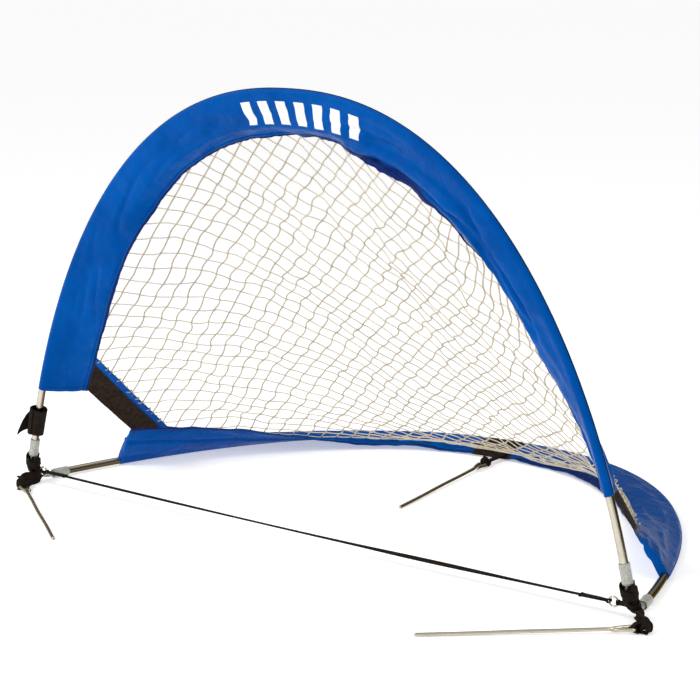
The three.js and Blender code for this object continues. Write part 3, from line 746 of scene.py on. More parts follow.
def turned_back(level, at):
    """Angle by which the net pulls back the upright sleeve's inner part: some of it before and
    over the apex, and growing to the right."""
    if level == "ground":
        return np.zeros(len(at))

    def rise(start, length):
        share = np.clip((at / ARCH_LENGTH - start) / length, 0, 1)
        return share * share * (3 - 2 * share)

    top = TOP_TURNED_BACK * rise(0.24, 0.12) * (1 - rise(0.52, 0.08))
    return np.minimum(np.maximum(TURNED_BACK * rise(0.50, 0.36), top),
                      FURTHEST_BACK - band_pitch(level, at))


def slackness(level, at):
    """How flat the ground sleeve lies: 0 beside the corners, 1 along the back."""
    if level == "upper":
        return np.zeros(len(at))
    pitch = np.degrees(band_pitch(level, at))
    return np.clip((CORNER_PITCH - pitch) / (CORNER_PITCH - REAR_PITCH), 0, 1) ** 2


def sleeve_surface(level, at, w, face, lift=0.0):
    """Points on a sleeve's front (face 1) or back (face -1), arrays of equal length.

    The two layers leave the pole together and close to a hem at the inner edge. Each has its own
    gathers, and both share the long folds and the drop of the hem along the back."""
    p, d, normal = band_frame(level, at)
    radius = SLEEVE_RADIUS[level]
    key = 3.1 if level == "upper" else 8.7
    t = np.clip(w / CLOSED_AT, 0, 1)
    height = lerp(radius, 0.0014, t) + 0.0022 * np.sin(math.pi * t)
    shared, own, edge = np.zeros(len(at)), np.zeros(len(at)), np.zeros(len(at))
    crumple = (0.55 + 0.9 * np.clip((at / ARCH_LENGTH - 0.30) / 0.25, 0, 1) if level == "upper"
               else np.full(len(at), 0.6))
    for i, (a, x) in enumerate(zip(at, w)):
        inner = math.exp(-((x - 0.072) / 0.016) ** 2)
        shared[i] = (0.0042 * ripple(a * 9, x * 12, key) + 0.0034 * ripple(a * 26, x * 20, key + 4) * inner
                     + 0.0016 * ripple(a * 48 + x * 40, x * 30 - a * 8, key + 9))
        crease = abs(ripple(a * 5 + 2, x * 34 + a * 3, key + 21))
        flat_print = 0.85 * math.exp(-((a - APEX - 0.03) / 0.12) ** 4) if level == "upper" else 0
        flat_print *= min(1, max(0, (0.070 - x) / 0.012))
        shared[i] += 0.0060 * math.exp(-(crease / 0.17) ** 2) * min(1, x / 0.03) * (1 - flat_print)
        own[i] = (0.0022 * ripple(a * 21 + x * 34, x * 38, key + 13 * face)
                  + 0.0012 * ripple(a * 70, x * 45, key + 17 * face) * (0.35 + inner))
        edge[i] = 0.0022 * ripple(a * 30, 0.5, key + 2) + 0.0014 * ripple(a * 85, 0.2, key + 6)
    open_part = np.clip(1 - t, 0, 1) ** 0.6 * np.clip(t * 5, 0, 1)
    height = height + own * crumple * open_part
    shared, edge = shared * crumple, edge * crumple
    groove = np.exp(-((w - CLOSED_AT + 0.0005) / 0.0022) ** 2)
    hem = np.clip((w - CLOSED_AT) / (BAND_WIDTH - CLOSED_AT), 0, 1)
    height = np.where(w > CLOSED_AT, 0.0019 - 0.0009 * hem, height) - 0.0008 * groove
    height = np.maximum(height, 0.0006) + lift
    middle = shared * np.clip(t * 2.2, 0, 1)
    drop = 0.0125 * slackness(level, at) * np.clip((w - 0.064) / (BAND_WIDTH - 0.064), 0, 1)
    turn = turned_back(level, at) * np.clip((w - TURN_AT + 0.006) / 0.012, 0, 1)
    over = np.maximum(w - TURN_AT, 0)
    reach = w - over * (1 - np.cos(turn)) + edge * np.clip(hem + 0.25 * (t > 0.6), 0, 1)
    out = p + d * reach[:, None] + normal * (over * np.sin(turn) + middle - drop)[:, None]
    out += (normal * np.cos(turn)[:, None] - d * np.sin(turn)[:, None]) * (face * height)[:, None]
    if level == "ground":
        out[:, 2] = np.maximum(out[:, 2], SHIFT[2] + 0.0008 + 0.001 * (face > 0))
    return out


def sleeve_outline(level):
    """Outline of a sleeve round its pole: (distance from the pole's centre, face) and arc angles."""
    flat = np.concatenate([[BAND_WIDTH, 0.0815, 0.0785, 0.0755, CLOSED_AT, 0.0715],
                           np.linspace(0.0695, 0.0035, 26)])
    return flat, np.linspace(math.radians(93), math.radians(267), 13)


def sleeve_loops(level, at):
    flat, arc = sleeve_outline(level)
    p, n, b = arch(level, at)
    pitch = band_pitch(level, at)
    loops = np.zeros((len(at), 2 * len(flat) + len(arc), 3))
    for j, w in enumerate(flat):
        width = np.full(len(at), w)
        loops[:, j] = sleeve_surface(level, at, width, 1)
        loops[:, -1 - j] = sleeve_surface(level, at, width, -1)
    for j, a in enumerate(arc):
        angle = a + pitch
        out = n * np.cos(angle)[:, None] + b * np.sin(angle)[:, None]
        loops[:, len(flat) + j] = p + out * SLEEVE_RADIUS[level]
    return loops


def stitch_row(shape, level, start, end, w, mat, pitch=0.0042):
    at = np.arange(start + 0.004, end - 0.004, pitch)
    a = np.repeat(at, 3) + np.tile([-0.0013, 0, 0.0013], len(at))
    for face in (1, -1):
        p = sleeve_surface(level, a, np.full(len(a), w), face, 0.0001)
        for k in range(len(at)):
            add_tube(shape, p[3 * k:3 * k + 3], 0.00034, 4, mat)


def end_stitches(shape, level, at, mat):
    """A row of stitches across a sleeve, beside its end."""
    spots = np.arange(0.006, 0.078, 0.0042)
    w = np.repeat(spots, 3) + np.tile([-0.0013, 0, 0.0013], len(spots))
    for face in (1, -1):
        p = sleeve_surface(level, np.full(len(w), at), w, face, 0.0001)
        for k in range(len(spots)):
            add_tube(shape, p[3 * k:3 * k + 3], 0.00034, 4, mat)


def make_sleeve(name, level, start, end, body, pocket_node, band_node, cloth, thread, slot):
    at = np.linspace(start, end, max(8, int((end - start) / 0.0038)))
    pocket = Shape()
    path = arch(level, at[::2])[0]
    loose = 1 + 0.04 * np.array([ripple(i * 0.7, 0, 5.0) for i in range(len(path))])
    add_tube(pocket, path, POCKET_RADIUS * loose, 18)
    put(pocket.build(f"{name}_pole_pocket", [LOOKS[cloth]]), body, pocket_node, slot=slot)

    sleeve = Shape()
    loops = sleeve_loops(level, at)
    centre = loops.mean(1)
    ahead = unit(centre[1] - centre[0]) * 0.0012, unit(centre[-1] - centre[-2]) * 0.0012
    closing = [[c + (loop - c) * k + step * far for k, far in ((0.90, 1), (0.97, 0.8))]
               for c, loop, step in ((centre[0], loops[0], -ahead[0]),
                                     (centre[-1], loops[-1], ahead[1]))]
    loops = np.concatenate([closing[0], loops, closing[1][::-1]])
    at_all = np.concatenate([[at[0]] * 2, at, [at[-1]] * 2])
    around = np.concatenate([[0], np.cumsum(np.linalg.norm(np.diff(loops[9], axis=0), axis=1))])
    uv = np.stack([np.repeat(at_all[:, None], len(around), 1),
                   np.repeat(around[None], len(at_all), 0)], -1)
    if level == "ground":
        loops[..., 2] = np.maximum(loops[..., 2], SHIFT[2] + 0.0006)
    sleeve.loft(loops, 0, uv)
    for w in (CLOSED_AT + 0.0012, BAND_WIDTH - 0.0022):
        stitch_row(sleeve, level, start, end, w, 1)
    for edge in (start + 0.007, end - 0.007):
        end_stitches(sleeve, level, edge, 1)
    p, inward, _ = arch(level, at)
    add_tube(sleeve, p - inward * SLEEVE_RADIUS[level], 0.0009, 8, 1)
    piece = put_soft(sleeve.build(f"{name}_cloth_sleeve", [LOOKS[cloth], LOOKS[thread]]), body,
                     band_node, slot=slot)
    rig.sheet(piece, flat=(BAND_WIDTH + SLEEVE_RADIUS[level], end - start), held="stretched",
             rests_on=[pocket_node])


REAR_MIDDLE = ARCH_LENGTH / 2 + REAR_PATCH_OFFSET
PATCH = (REAR_MIDDLE - REAR_PATCH_LENGTH / 2, REAR_MIDDLE + REAR_PATCH_LENGTH / 2)
for name, level, start, end in (
        ("upper", "upper", SLEEVE_START["upper"], ARCH_LENGTH - SLEEVE_START["upper"]),
        ("ground_left", "ground", SLEEVE_START["ground"], PATCH[0] - 0.0003),
        ("ground_right", "ground", PATCH[1] + 0.0003, ARCH_LENGTH - SLEEVE_START["ground"])):
    make_sleeve(name, level, start, end, f"{level}_frame", f"{name}_pocket", f"{name}_band",
                "nylon", "thread", "blue_nylon")
make_sleeve("rear_patch", "ground", *PATCH, "ground_frame", "rear_patch_pocket",
            "rear_patch_band", "black_fabric", "dark_thread", "black_fabric")


def printed_bars(name, bars):
    """Plain white bars printed on the front of the upright sleeve."""
    ink = Shape()
    for start, width, low, high, slant in bars:
        aa, ww = np.meshgrid(np.linspace(0, 1, 14), np.linspace(0, 1, 26), indexing="ij")
        across = lerp(low, high, ww)
        along = start + width * aa + slant * ww
        top, under = (sleeve_surface("upper", along.ravel(), across.ravel(), -1, lift)
                      .reshape(*aa.shape, 3) for lift in (0.0006, -0.0004))
        ink.loft(np.concatenate([top, under[:, ::-1]], 1))
    put_soft(ink.build(name, [LOOKS["ink"]]), "upper_frame", slot="blue_nylon")


printed_bars("sleeve_print", [(APEX - 0.092 + 0.036 * k, 0.019, 0.011, 0.047, 0.006)
                              for k in range(7)])

# ---- corner panels ------------------------------------------------------------------------------
def edge_point(side, level, across, w=BAND_WIDTH - 0.001):
    """A point on a sleeve's inner edge, going inwards from its hem as across goes from 0 to 1."""
    distance = SLEEVE_START[level] + GUSSET_WIDTH * across
    at = distance if side == "left" else ARCH_LENGTH - distance
    at, w = np.array([at]), np.array([w])
    return (sleeve_surface(level, at, w, 1)[0] + sleeve_surface(level, at, w, -1)[0]) / 2


def crease_share(a, b):
    """Share of the way from a to b at which the fold's middle plane is crossed."""
    def side_of(p):
        return (p - PIVOT)[1] - (p - PIVOT)[2]
    return side_of(a) / (side_of(a) - side_of(b))


def panel_half(side, half, low, high, cols):
    """Grid over one half of a corner panel, above or below the fold."""
    rows, key = 26, 2.0 if side == "left" else 6.0
    grid = np.zeros((rows, cols, 3))
    outward = vec(-1 if side == "left" else 1, 0, 0)
    for j in range(cols):
        across = lerp(low, high, j / (cols - 1))
        top, foot = edge_point(side, "upper", across), edge_point(side, "ground", across)
        crease = crease_share(top, foot)
        first, last = (0.0, crease) if half == "upper" else (crease, 1.0)
        for i in range(rows):
            v = lerp(first, last, i / (rows - 1))
            pull = math.sin(math.pi * v)
            curve = 0.004 * pull * math.sin(math.pi * min(1, across * 0.9 + 0.05))
            wave = pull * (0.0022 * ripple(across * 4, v * 5, key) + 0.001 * ripple(across * 11, v * 16, key))
            grid[i, j] = lerp(top, foot, v) + outward * (curve + wave)
    return grid


def thick_grid(shape, grid, half, mat=0):
    du, dv = np.gradient(grid, axis=0), np.gradient(grid, axis=1)
    normal = unit(np.cross(du, dv))
    u = np.concatenate([[0], np.cumsum(np.linalg.norm(np.diff(grid[:, 0], axis=0), axis=1))])
    v = np.concatenate([[0], np.cumsum(np.linalg.norm(np.diff(grid[0], axis=0), axis=1))])
    uv = np.stack(np.meshgrid(u, v, indexing="ij"), -1)
    shape.loft(np.concatenate([grid + normal * half, (grid - normal * half)[:, ::-1]], 1), mat,
               np.concatenate([uv, uv[:, ::-1]], 1))


for side in ("left", "right"):
    for half, body in (("upper", "upper_frame"), ("lower", "ground_frame")):
        panel = Shape()
        grid = panel_half(side, half, 0.0, GUSSET_SHARE + 0.02, 18)
        thick_grid(panel, grid, 0.0006)
        piece = put_soft(panel.build(f"{side}_corner_panel_{half}", [LOOKS["black_fabric"]]), body,
                         *([f"{side}_gusset"] if half == "upper" else []), slot="black_fabric")
        size = [float(np.linalg.norm(np.diff(line, axis=0), axis=1).sum())
                for line in (grid[13], grid[:, 9])]
        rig.sheet(piece, flat=tuple(size), held="stretched")
        edge = Shape()
        rim = panel_half(side, half, GUSSET_SHARE - 0.02, 1.0, 9)
        thick_grid(edge, rim, 0.0013)
        for col in (1, 7):
            for face in (0.0016, -0.0016):
                line = resample(rim[:, col] + vec(face, 0, 0), 0.0021)
                for k in range(0, len(line) - 2, 2):
                    add_tube(edge, line[k:k + 2], 0.00034, 4, 1)
        put_soft(edge.build(f"{side}_panel_edging_{half}", [LOOKS["nylon"], LOOKS["thread"]]), body,
                 *([f"{side}_gusset_binding"] if half == "upper" else []), slot="blue_nylon")

# ---- net ----------------------------------------------------------------------------------------
NET_COLUMNS, NET_ROWS = 360, 110
NET_MESH = 0.0365          # width of one open diamond
FALL_RATE = 1.39           # how fast y - z grows along the net, per metre
NET_INSET = GUSSET_WIDTH - 0.001


def net_surface():
    share = np.linspace(0, 1, NET_COLUMNS)
    start = {k: v + NET_INSET for k, v in SLEEVE_START.items()}
    at = {k: v + share * (ARCH_LENGTH - 2 * v) for k, v in start.items()}
    top = sleeve_surface("upper", at["upper"], np.full(NET_COLUMNS, BAND_WIDTH - 0.0015), 1)
    foot_w = BAND_WIDTH - 0.0015 - 0.014 * slackness("ground", at["ground"])
    foot = sleeve_surface("ground", at["ground"], foot_w, 1)
    v = np.linspace(0, 1, NET_ROWS)
    slack = NET_SAG * np.sin(math.pi * share) ** 2
    drop = slack[:, None] * 4 * v * (1 - v) * (0.7 + 0.5 * v)
    grid = top[:, None] * (1 - v)[None, :, None] + foot[:, None] * v[None, :, None]
    grid[:, :, 2] -= drop
    inner = np.minimum(np.minimum(share, 1 - share)[:, None] * 14,
                       np.minimum(v, 1 - v)[None, :] * 8)
    return grid, np.clip(inner, 0, 1)


def net_lines(field, other, grid, inner, pitch):
    """Lines of equal field on the net's grid, each an array of x, y, z, other field, edge share."""
    values = np.concatenate([grid, other[..., None], inner[..., None]], -1).reshape(-1, 5)
    f = field.ravel()
    cols = field.shape[1]
    links, spots = {}, {}
    for i in range(field.shape[0] - 1):
        for j in range(cols - 1):
            q = (i * cols + j, (i + 1) * cols + j, (i + 1) * cols + j + 1, i * cols + j + 1)
            for tri in ((q[0], q[1], q[2]), (q[0], q[2], q[3])):
                lo, hi = min(f[k] for k in tri), max(f[k] for k in tri)
                for level in range(math.ceil(lo / pitch), math.floor(hi / pitch) + 1):
                    ends = []
                    for a, b in ((tri[0], tri[1]), (tri[1], tri[2]), (tri[2], tri[0])):
                        if (f[a] - level * pitch) * (f[b] - level * pitch) < 0:
                            a, b = min(a, b), max(a, b)
                            t = (level * pitch - f[a]) / (f[b] - f[a])
                            spots[a, b, level] = lerp(values[a], values[b], t)
                            ends.append((a, b, level))
                    if len(ends) == 2:
                        links.setdefault(ends[0], []).append(ends[1])
                        links.setdefault(ends[1], []).append(ends[0])
    lines, used = [], set()
    for start in sorted(k for k, n in links.items() if len(n) == 1):
        if start in used:
            continue
        chain, here, before = [start], start, None
        used.add(start)
        while True:
            ahead = [k for k in links[here] if k != before and k not in used]
            if not ahead:
                break
            before, here = here, ahead[0]
            used.add(here)
            chain.append(here)
        if len(chain) > 4:
            lines.append((start[2], np.array([spots[k] for k in chain])))
    return lines


def stray(p, share):
    """Unevenness of the net, the same for both families of cord."""
    v = Vector(p)
    broad = noise.noise_vector(v * 7.0)
    fine = noise.noise_vector(v * 24.0 + Vector((3, 1, 7)))
    return np.array(broad * 0.009 + fine * 0.0035) * share


def laid_cord(line, pitch, key, zigzag, loose):
    """A cord of the net: straight from knot to knot but for a sideways step and a little slack."""
    out = []
    for x, y, z, other, share in line:
        cell = math.floor(other / pitch)
        rnd = random.Random(cell * 7919 + key * 104729)
        bow = math.sin(math.pi * (other / pitch - cell))
        step = zigzag * (1 if cell % 2 else -1) * rnd.uniform(0.3, 1.2)
        side = vec(0.8 * step, 0.55 * step, 0) + loose * vec(
            rnd.uniform(-1, 1), rnd.uniform(-1, 1), rnd.uniform(-1, 1))
        p = vec(x, y, z)
        out.append(p + stray(p, share) + side * bow * share)
    return np.array(out)


def split_at_crease(path):
    """Parts of a line above and below the fold's middle plane."""
    s = (path - PIVOT)[:, 1] - (path - PIVOT)[:, 2]
    parts, current = {"upper": [], "lower": []}, [path[0]]
    for i in range(1, len(path)):
        if (s[i - 1] < 0) != (s[i] < 0):
            cut = lerp(path[i - 1], path[i], s[i - 1] / (s[i - 1] - s[i]))
            parts["upper" if s[i - 1] < 0 else "lower"].append(np.array(current + [cut]))
            current = [cut]
        current.append(path[i])
    parts["upper" if s[-1] < 0 else "lower"].append(np.array(current))
    return parts


def make_net():
    grid, inner = net_surface()
    fall = (grid[..., 1] - grid[..., 2]) / FALL_RATE
    # meshes are drawn out towards the right-hand upright
    reach = np.clip((np.linspace(0, 1, NET_COLUMNS) - 0.66) / 0.3, 0, 1)
    fall = fall * (1 - 0.5 * reach ** 2 * (3 - 2 * reach))[:, None]
    steep, shallow = grid[..., 0] + fall, grid[..., 0] - fall
    halves = {"upper": Shape(), "lower": Shape()}

    def lay(path, radius, mat):
        for half, parts in split_at_crease(path).items():
            for part in parts:
                if len(part) > 2:
                    add_tube(halves[half], part, radius, 6, mat)

    knots = {}
    for field, other, radius, zigzag, loose, mat in ((steep, shallow, 0.00125, 0.0030, 0.0012, 0),
                                                     (shallow, steep, 0.00100, 0.0, 0.0012, 1)):
        for level, line in net_lines(field, other, grid, inner, NET_MESH):
            line = resample(line, 0.0045)
            path = laid_cord(line, NET_MESH, level + 500 * mat, zigzag, loose)
            lay(path, radius, mat)
            if mat == 0:
                cells = np.floor(line[:, 3] / NET_MESH)
                for i in np.nonzero(np.diff(cells))[0]:
                    knots[(level, int(max(cells[i], cells[i + 1])))] = (
                        lerp(path[i], path[i + 1], 0.5), unit(path[i + 1] - path[i]))
    for (a, b), (centre, along) in knots.items():
        rnd = random.Random(a * 313 + b * 7)
        half = "upper" if (centre - PIVOT)[1] < (centre - PIVOT)[2] else "lower"
        across = unit(np.cross(along, vec(rnd.uniform(-1, 1), rnd.uniform(-1, 1), 1)))
        turn = [centre + (along * 0.0020 * math.cos(k) + across * 0.0012 * math.sin(k))
                for k in np.arange(8) * math.pi / 4]
        add_tube(halves[half], turn, 0.0010, 5, 0, closed=True)

    border = np.concatenate([grid[:, 0], grid[-1, 1:], grid[-2::-1, -1], grid[0, -2::-1]])
    lay(resample(border, 0.006), 0.0012, 1)
    for column, side in ((grid[0], 1), (grid[-1], -1)):
        line = resample(column, 0.0016)
        _, across, up = carried_frames(line)
        angle = np.arange(len(line)) * 0.0016 / 0.013 * 2 * math.pi
        wobble = 0.0036 + 0.0012 * np.sin(angle * 0.37)
        lay(line + vec(-side * 0.003, 0, 0) + (across * np.cos(angle)[:, None]
                                               + up * np.sin(angle)[:, None]) * wobble[:, None],
            0.0011, 0)
    for half, body in (("upper", "upper_frame"), ("lower", "ground_frame")):
        put_soft(halves[half].build(f"net_{half}", [LOOKS["net_cord"], LOOKS["net_cord_light"]]),
                 body, *(["net"] if half == "upper" else []), slot="net_cord")


make_net()

# ---- webbing: tethers, ring loops, strap, wraps -------------------------------------------------
def squared(end, ahead):
    """The same handedness of width, layer and walking direction at both ends of a belt."""
    sign = math.copysign(1, np.dot(end["wide"], np.cross(end["layer"], ahead)))
    return dict(end, wide=end["wide"] * sign)


def belt(shape, a, b, mat=0, thickness=WEBBING, steps=40):
    """A closed loop of webbing round two ends, its layers lying together in between."""
    layer = thickness / 2 + 0.0002
    a, b = squared(a, a["to"]), squared(b, -b["to"])
    line = bezier(a["centre"] + a["to"] * (a["radius"] * 1.25 + 0.001),
                  a["centre"] + a["to"] * (a["radius"] + a["pull"]),
                  b["centre"] + b["to"] * (b["radius"] + b["pull"]),
                  b["centre"] + b["to"] * (b["radius"] * 1.25 + 0.001), steps)
    tangent = unit(np.gradient(line, axis=0))
    carried = []
    for t in tangent:
        w = carried[-1] if carried else a["wide"]
        carried.append(unit(w - t * np.dot(w, t)))

    def angle_to(wide):
        return math.atan2(np.dot(np.cross(carried[-1], wide), tangent[-1]),
                          np.dot(carried[-1], wide))

    if abs(angle_to(b["wide"])) > math.pi / 2:
        b = dict(b, wide=-b["wide"], layer=-b["layer"])
    twist = angle_to(b["wide"])
    t = np.linspace(0, 1, steps)
    turned = twist * t * t * (3 - 2 * t)
    wide = np.array([w * math.cos(k) + np.cross(g, w) * math.sin(k)
                     for w, g, k in zip(carried, tangent, turned)])
    flat = np.cross(tangent, wide)
    width = lerp(a["width"], b["width"], t)

    def turn(end, side):
        opening = math.asin(min(0.95, layer / end["radius"])) + 0.25
        angle = opening + np.linspace(0, 1, end["steps"]) * 2 * (math.pi - opening)
        out = np.cos(angle)[:, None] * end["to"] + side * np.sin(angle)[:, None] * end["layer"]
        n = len(angle)
        return (end["centre"] + out * end["radius"], out, np.tile(end["wide"], (n, 1)),
                np.full(n, end["width"]))

    parts = [turn(a, -1), (line + flat * layer, flat, wide, width), turn(b, 1),
             ((line - flat * layer)[::-1], -flat[::-1], wide[::-1], width[::-1])]
    path, thin, wide, width = (np.concatenate([p[k] for p in parts]) for k in range(4))
    path[:, 2] = np.maximum(path[:, 2], SHIFT[2] + 0.0016)
    add_strip(shape, path, wide, thin, width, thickness, mat, closed=True)


def wind(shape, path, radius, turns, width, start=0.0, lean=0.0, thickness=0.0013):
    """Webbing wound round a path, from its first point to its last."""
    path = resample(path, 0.0006)
    tangent, side, up = carried_frames(path)
    count = max(24, int(turns * 26))
    at = np.linspace(0, 1, count) * (len(path) - 1)

    def pick(values):
        return np.stack([np.interp(at, np.arange(len(path)), values[:, k]) for k in range(3)], 1)

    angle = start + np.linspace(0, 1, count) * turns * 2 * math.pi
    out = pick(side) * np.cos(angle)[:, None] + pick(up) * np.sin(angle)[:, None]
    along = pick(tangent)
    radius = np.interp(np.linspace(0, 1, count), np.linspace(0, 1, len(radius)), radius)
    line = (pick(path) + out * radius[:, None]
            + along * (lean * np.sin(angle + 0.7) * radius)[:, None])
    line[:, 2] = np.maximum(line[:, 2], SHIFT[2] + 0.0012)
    run = unit(np.gradient(line, axis=0))
    wide = unit(along - run * (along * run).sum(1, keepdims=True))
    add_strip(shape, line, wide, np.cross(run, wide), width, thickness)


def stitches_along(shape, line, wide, across, pitch=0.003):
    """Short thread stitches lying on webbing."""
    line = np.asarray(line)
    length = np.concatenate([[0], np.cumsum(np.linalg.norm(np.diff(line, axis=0), axis=1))])
    for at in np.arange(0.001, length[-1] - 0.002, pitch):
        ends = np.array([[np.interp(at + d, length, line[:, k]) for k in range(3)]
                         for d in (0, 0.0018)])
        add_tube(shape, ends + wide * across, 0.0003, 4, 1)


def knot_of(side):
    """Middle of a corner tube and its direction there, where a tether loops round it."""
    bend = corner_path(side)[1:-1]
    t = 4 / 7 * (len(bend) - 1)
    i = int(t)
    return lerp(bend[i], bend[i + 1], t - i), unit(bend[i + 1] - bend[i])


def heading(degrees):
    a = math.radians(degrees)
    return vec(math.cos(a), math.sin(a), 0), vec(-math.sin(a), math.cos(a), 0)


PEGS = {
    "right": (vec(0.637, -0.040, PEG_EYE_HEIGHT) + SHIFT, -141),
    "left": (vec(-0.591, -0.038, PEG_EYE_HEIGHT) + SHIFT, -35.5),
    "rear": (vec(-0.008, 0.574, PEG_EYE_HEIGHT) + SHIFT, -85),
}


def peg_shape(eye, degrees):
    """A peg of bent wire: a blunt shank, and an eye closed back on itself."""
    forward, across = heading(degrees)
    tip = eye + forward * PEG_LENGTH
    tip[2] = PEG_RADIUS + SHIFT[2]
    axis = unit(tip - eye)
    r = PEG_EYE_RADIUS
    arc = [(r * (1 - math.cos(a)), r * math.sin(a)) for a in np.radians(np.linspace(-100, 100, 9))]
    line = [(PEG_LENGTH - 0.004, 0), (PEG_LENGTH * 0.75, 0.0005), (PEG_LENGTH * 0.5, -0.0004),
            (PEG_LENGTH * 0.3, 0.0003), (PEG_EYE_LENGTH + 0.009, 0),
            (PEG_EYE_LENGTH - 0.004, -0.0005), (PEG_EYE_LENGTH * 0.58, -r * 0.6), *arc,
            (PEG_EYE_LENGTH * 0.58, r * 0.6), (PEG_EYE_LENGTH - 0.006, 2 * PEG_RADIUS + 0.0003)]
    path = rounded([eye + axis * x + across * y for x, y in line], 0.0025)
    blunt = [(0, 0.0012), (0.0006, 0.0021), (0.0018, PEG_RADIUS * 0.97)]
    path = np.concatenate([[eye + axis * (PEG_LENGTH - d) for d, _ in blunt], path])
    radius = np.full(len(path), PEG_RADIUS)
    radius[:3] = [r for _, r in blunt]
    radius[-1] = PEG_RADIUS * 0.8
    shape = Shape()
    add_tube(shape, path, radius, 18)
    return shape


# windings of the knot: place along the peg, turn of the axis, radius, width, start, lean
KNOT = ((0.003, 0.0, 0.0060, 0.0110, 0.4, 0.25), (0.008, 0.5, 0.0080, 0.0120, 2.1, -0.4),
        (0.000, -0.4, 0.0072, 0.0095, 3.9, 0.5), (0.013, -0.3, 0.0092, 0.0110, 5.4, 0.3),
        (0.009, 0.9, 0.0104, 0.0095, 1.2, -0.5))
VIEW = vec(-math.sin(CAMERA_YAW), math.cos(CAMERA_YAW), -0.2)

for name, (eye, degrees) in PEGS.items():
    put(peg_shape(eye, degrees).build(f"{name}_ground_peg", [LOOKS["peg_steel"]]), f"{name}_peg",
        f"{name}_peg", slot="peg_steel")
    forward, across = heading(degrees)
    eye_end = dict(centre=eye, radius=PEG_RADIUS + 0.0026 + WEBBING / 2, to=-forward,
                   layer=vec(0, 0, 1), wide=across, width=0.0085, steps=30, pull=0.012)
    if name == "rear":
        anchor = band_point("ground", REAR_MIDDLE + 0.029, BAND_WIDTH - 0.012)[0] - vec(0, 0, 0.005)
        axis, radius, width, steps, pull = vec(1, 0, 0), WEBBING / 2 + 0.0004, 0.016, 8, 0.006
    else:
        anchor, axis = knot_of(name)
        radius, width, steps, pull = ELBOW_RADIUS + 0.0018 + WEBBING / 2, 0.016, 30, 0.014
    towards = eye - anchor
    towards = unit(towards - axis * np.dot(towards, axis))
    layer = np.cross(axis, towards)
    layer = -layer if layer[2] < 0 else layer
    anchor_end = dict(centre=anchor, radius=radius, to=towards, layer=layer, wide=axis, width=width,
                      steps=steps, pull=pull)
    tether = Shape()
    belt(tether, anchor_end, eye_end)
    # the gathered knot round the end of the peg's eye
    big = 1.0 if name != "rear" else 0.75
    for along, spin, size, width, start, lean in KNOT:
        axis = unit(across + forward * math.sin(spin) + vec(0, 0, 0.35 * math.cos(3 * spin)))
        centre = eye - forward * along * big + vec(0, 0, 0.001)
        wind(tether, [centre - axis * 0.0045 * big, centre + axis * 0.0045 * big],
             [size * big, size * big * 1.1, size * big], 1.3, width * big, start, lean)
    if name != "rear":
        # the webbing's spare end, laid over the tether
        tail = bezier(anchor + vec(0, 0, 0.004), anchor + towards * 0.02 + vec(0, 0, 0.006),
                      eye + vec(0, 0, 0.022) - forward * 0.012, eye + vec(0, 0, 0.010), 24)
        run = unit(np.gradient(tail, axis=0))
        facing = unit(np.cross(run, VIEW))
        add_strip(tether, tail, facing, np.cross(run, facing), 0.0135, WEBBING)
    put(tether.build(f"{name}_peg_tether", [LOOKS["webbing"]]),
        "ground_frame" if name == "rear" else f"{name}_tether", f"{name}_tether",
        slot="black_webbing")

ring_centres = {}
for side, inward in (("left", 1), ("right", -1)):
    centre = vec(-inward * (MOUTH_WIDTH / 2 - STRAP_INSET), 0, STRAP_HEIGHT[side]) + SHIFT
    ring_centres[side] = centre
    a = np.linspace(0, 2 * math.pi, 48, endpoint=False)
    ring = Shape()
    add_tube(ring, centre + RING_RADIUS * np.stack([np.cos(a), 0 * a, np.sin(a)], 1), RING_WIRE, 14,
             closed=True)
    put(ring.build(f"{side}_wire_ring", [LOOKS["steel"]]), "ground_frame", f"{side}_strap_ring",
        slot="steel")
    outward = vec(-inward, 0, 0)
    wire = centre + outward * RING_RADIUS
    common = dict(layer=vec(0, 1, 0), wide=vec(0, 0, 1), width=0.0075, pull=0.0025)
    link = Shape()
    belt(link, dict(centre=wire + outward * 0.0125, radius=WEBBING / 2 + 0.0005, to=-outward, steps=8,
                    **common),
         dict(centre=wire, radius=RING_WIRE + 0.0006 + WEBBING / 2, to=outward, steps=26, **common))
    put(link.build(f"{side}_ring_webbing", [LOOKS["webbing"]]), "ground_frame", f"{side}_ring_loop",
        slot="black_webbing")

    # webbing wound several times round the corner tube, loosest at the upright
    bend = corner_path(side)[1:-1]
    wrap = Shape()
    for first, last, sizes, turns, width, start, lean in (
            (0, 13, (0.0060, 0.0064, 0.0060), 1.6, 0.0140, 0.3, 0.10),
            (0, 8, (0.0098, 0.0088, 0.0076), 1.35, 0.0150, 1.9, -0.30),
            (1, 7, (0.0128, 0.0118, 0.0096), 1.15, 0.0135, 4.0, 0.28),
            (2, 9, (0.0112, 0.0140, 0.0104), 0.9, 0.0110, 0.9, -0.55),
            (5, 14, (0.0086, 0.0110, 0.0080), 1.5, 0.0115, 2.7, 0.45),
            (8, 17, (0.0080, 0.0090, 0.0068), 1.4, 0.0100, 5.2, -0.30)):
        wind(wrap, bend[first:last], sizes, turns, width, start, lean)
    piece = wrap.build(f"{side}_wound_webbing", [LOOKS["webbing"]])
    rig.blend(piece, "ground_frame", "upper_frame", **bend_span(side))
    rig.replaces(piece, f"{side}_corner_wrap")
    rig.slot(piece, "black_webbing")

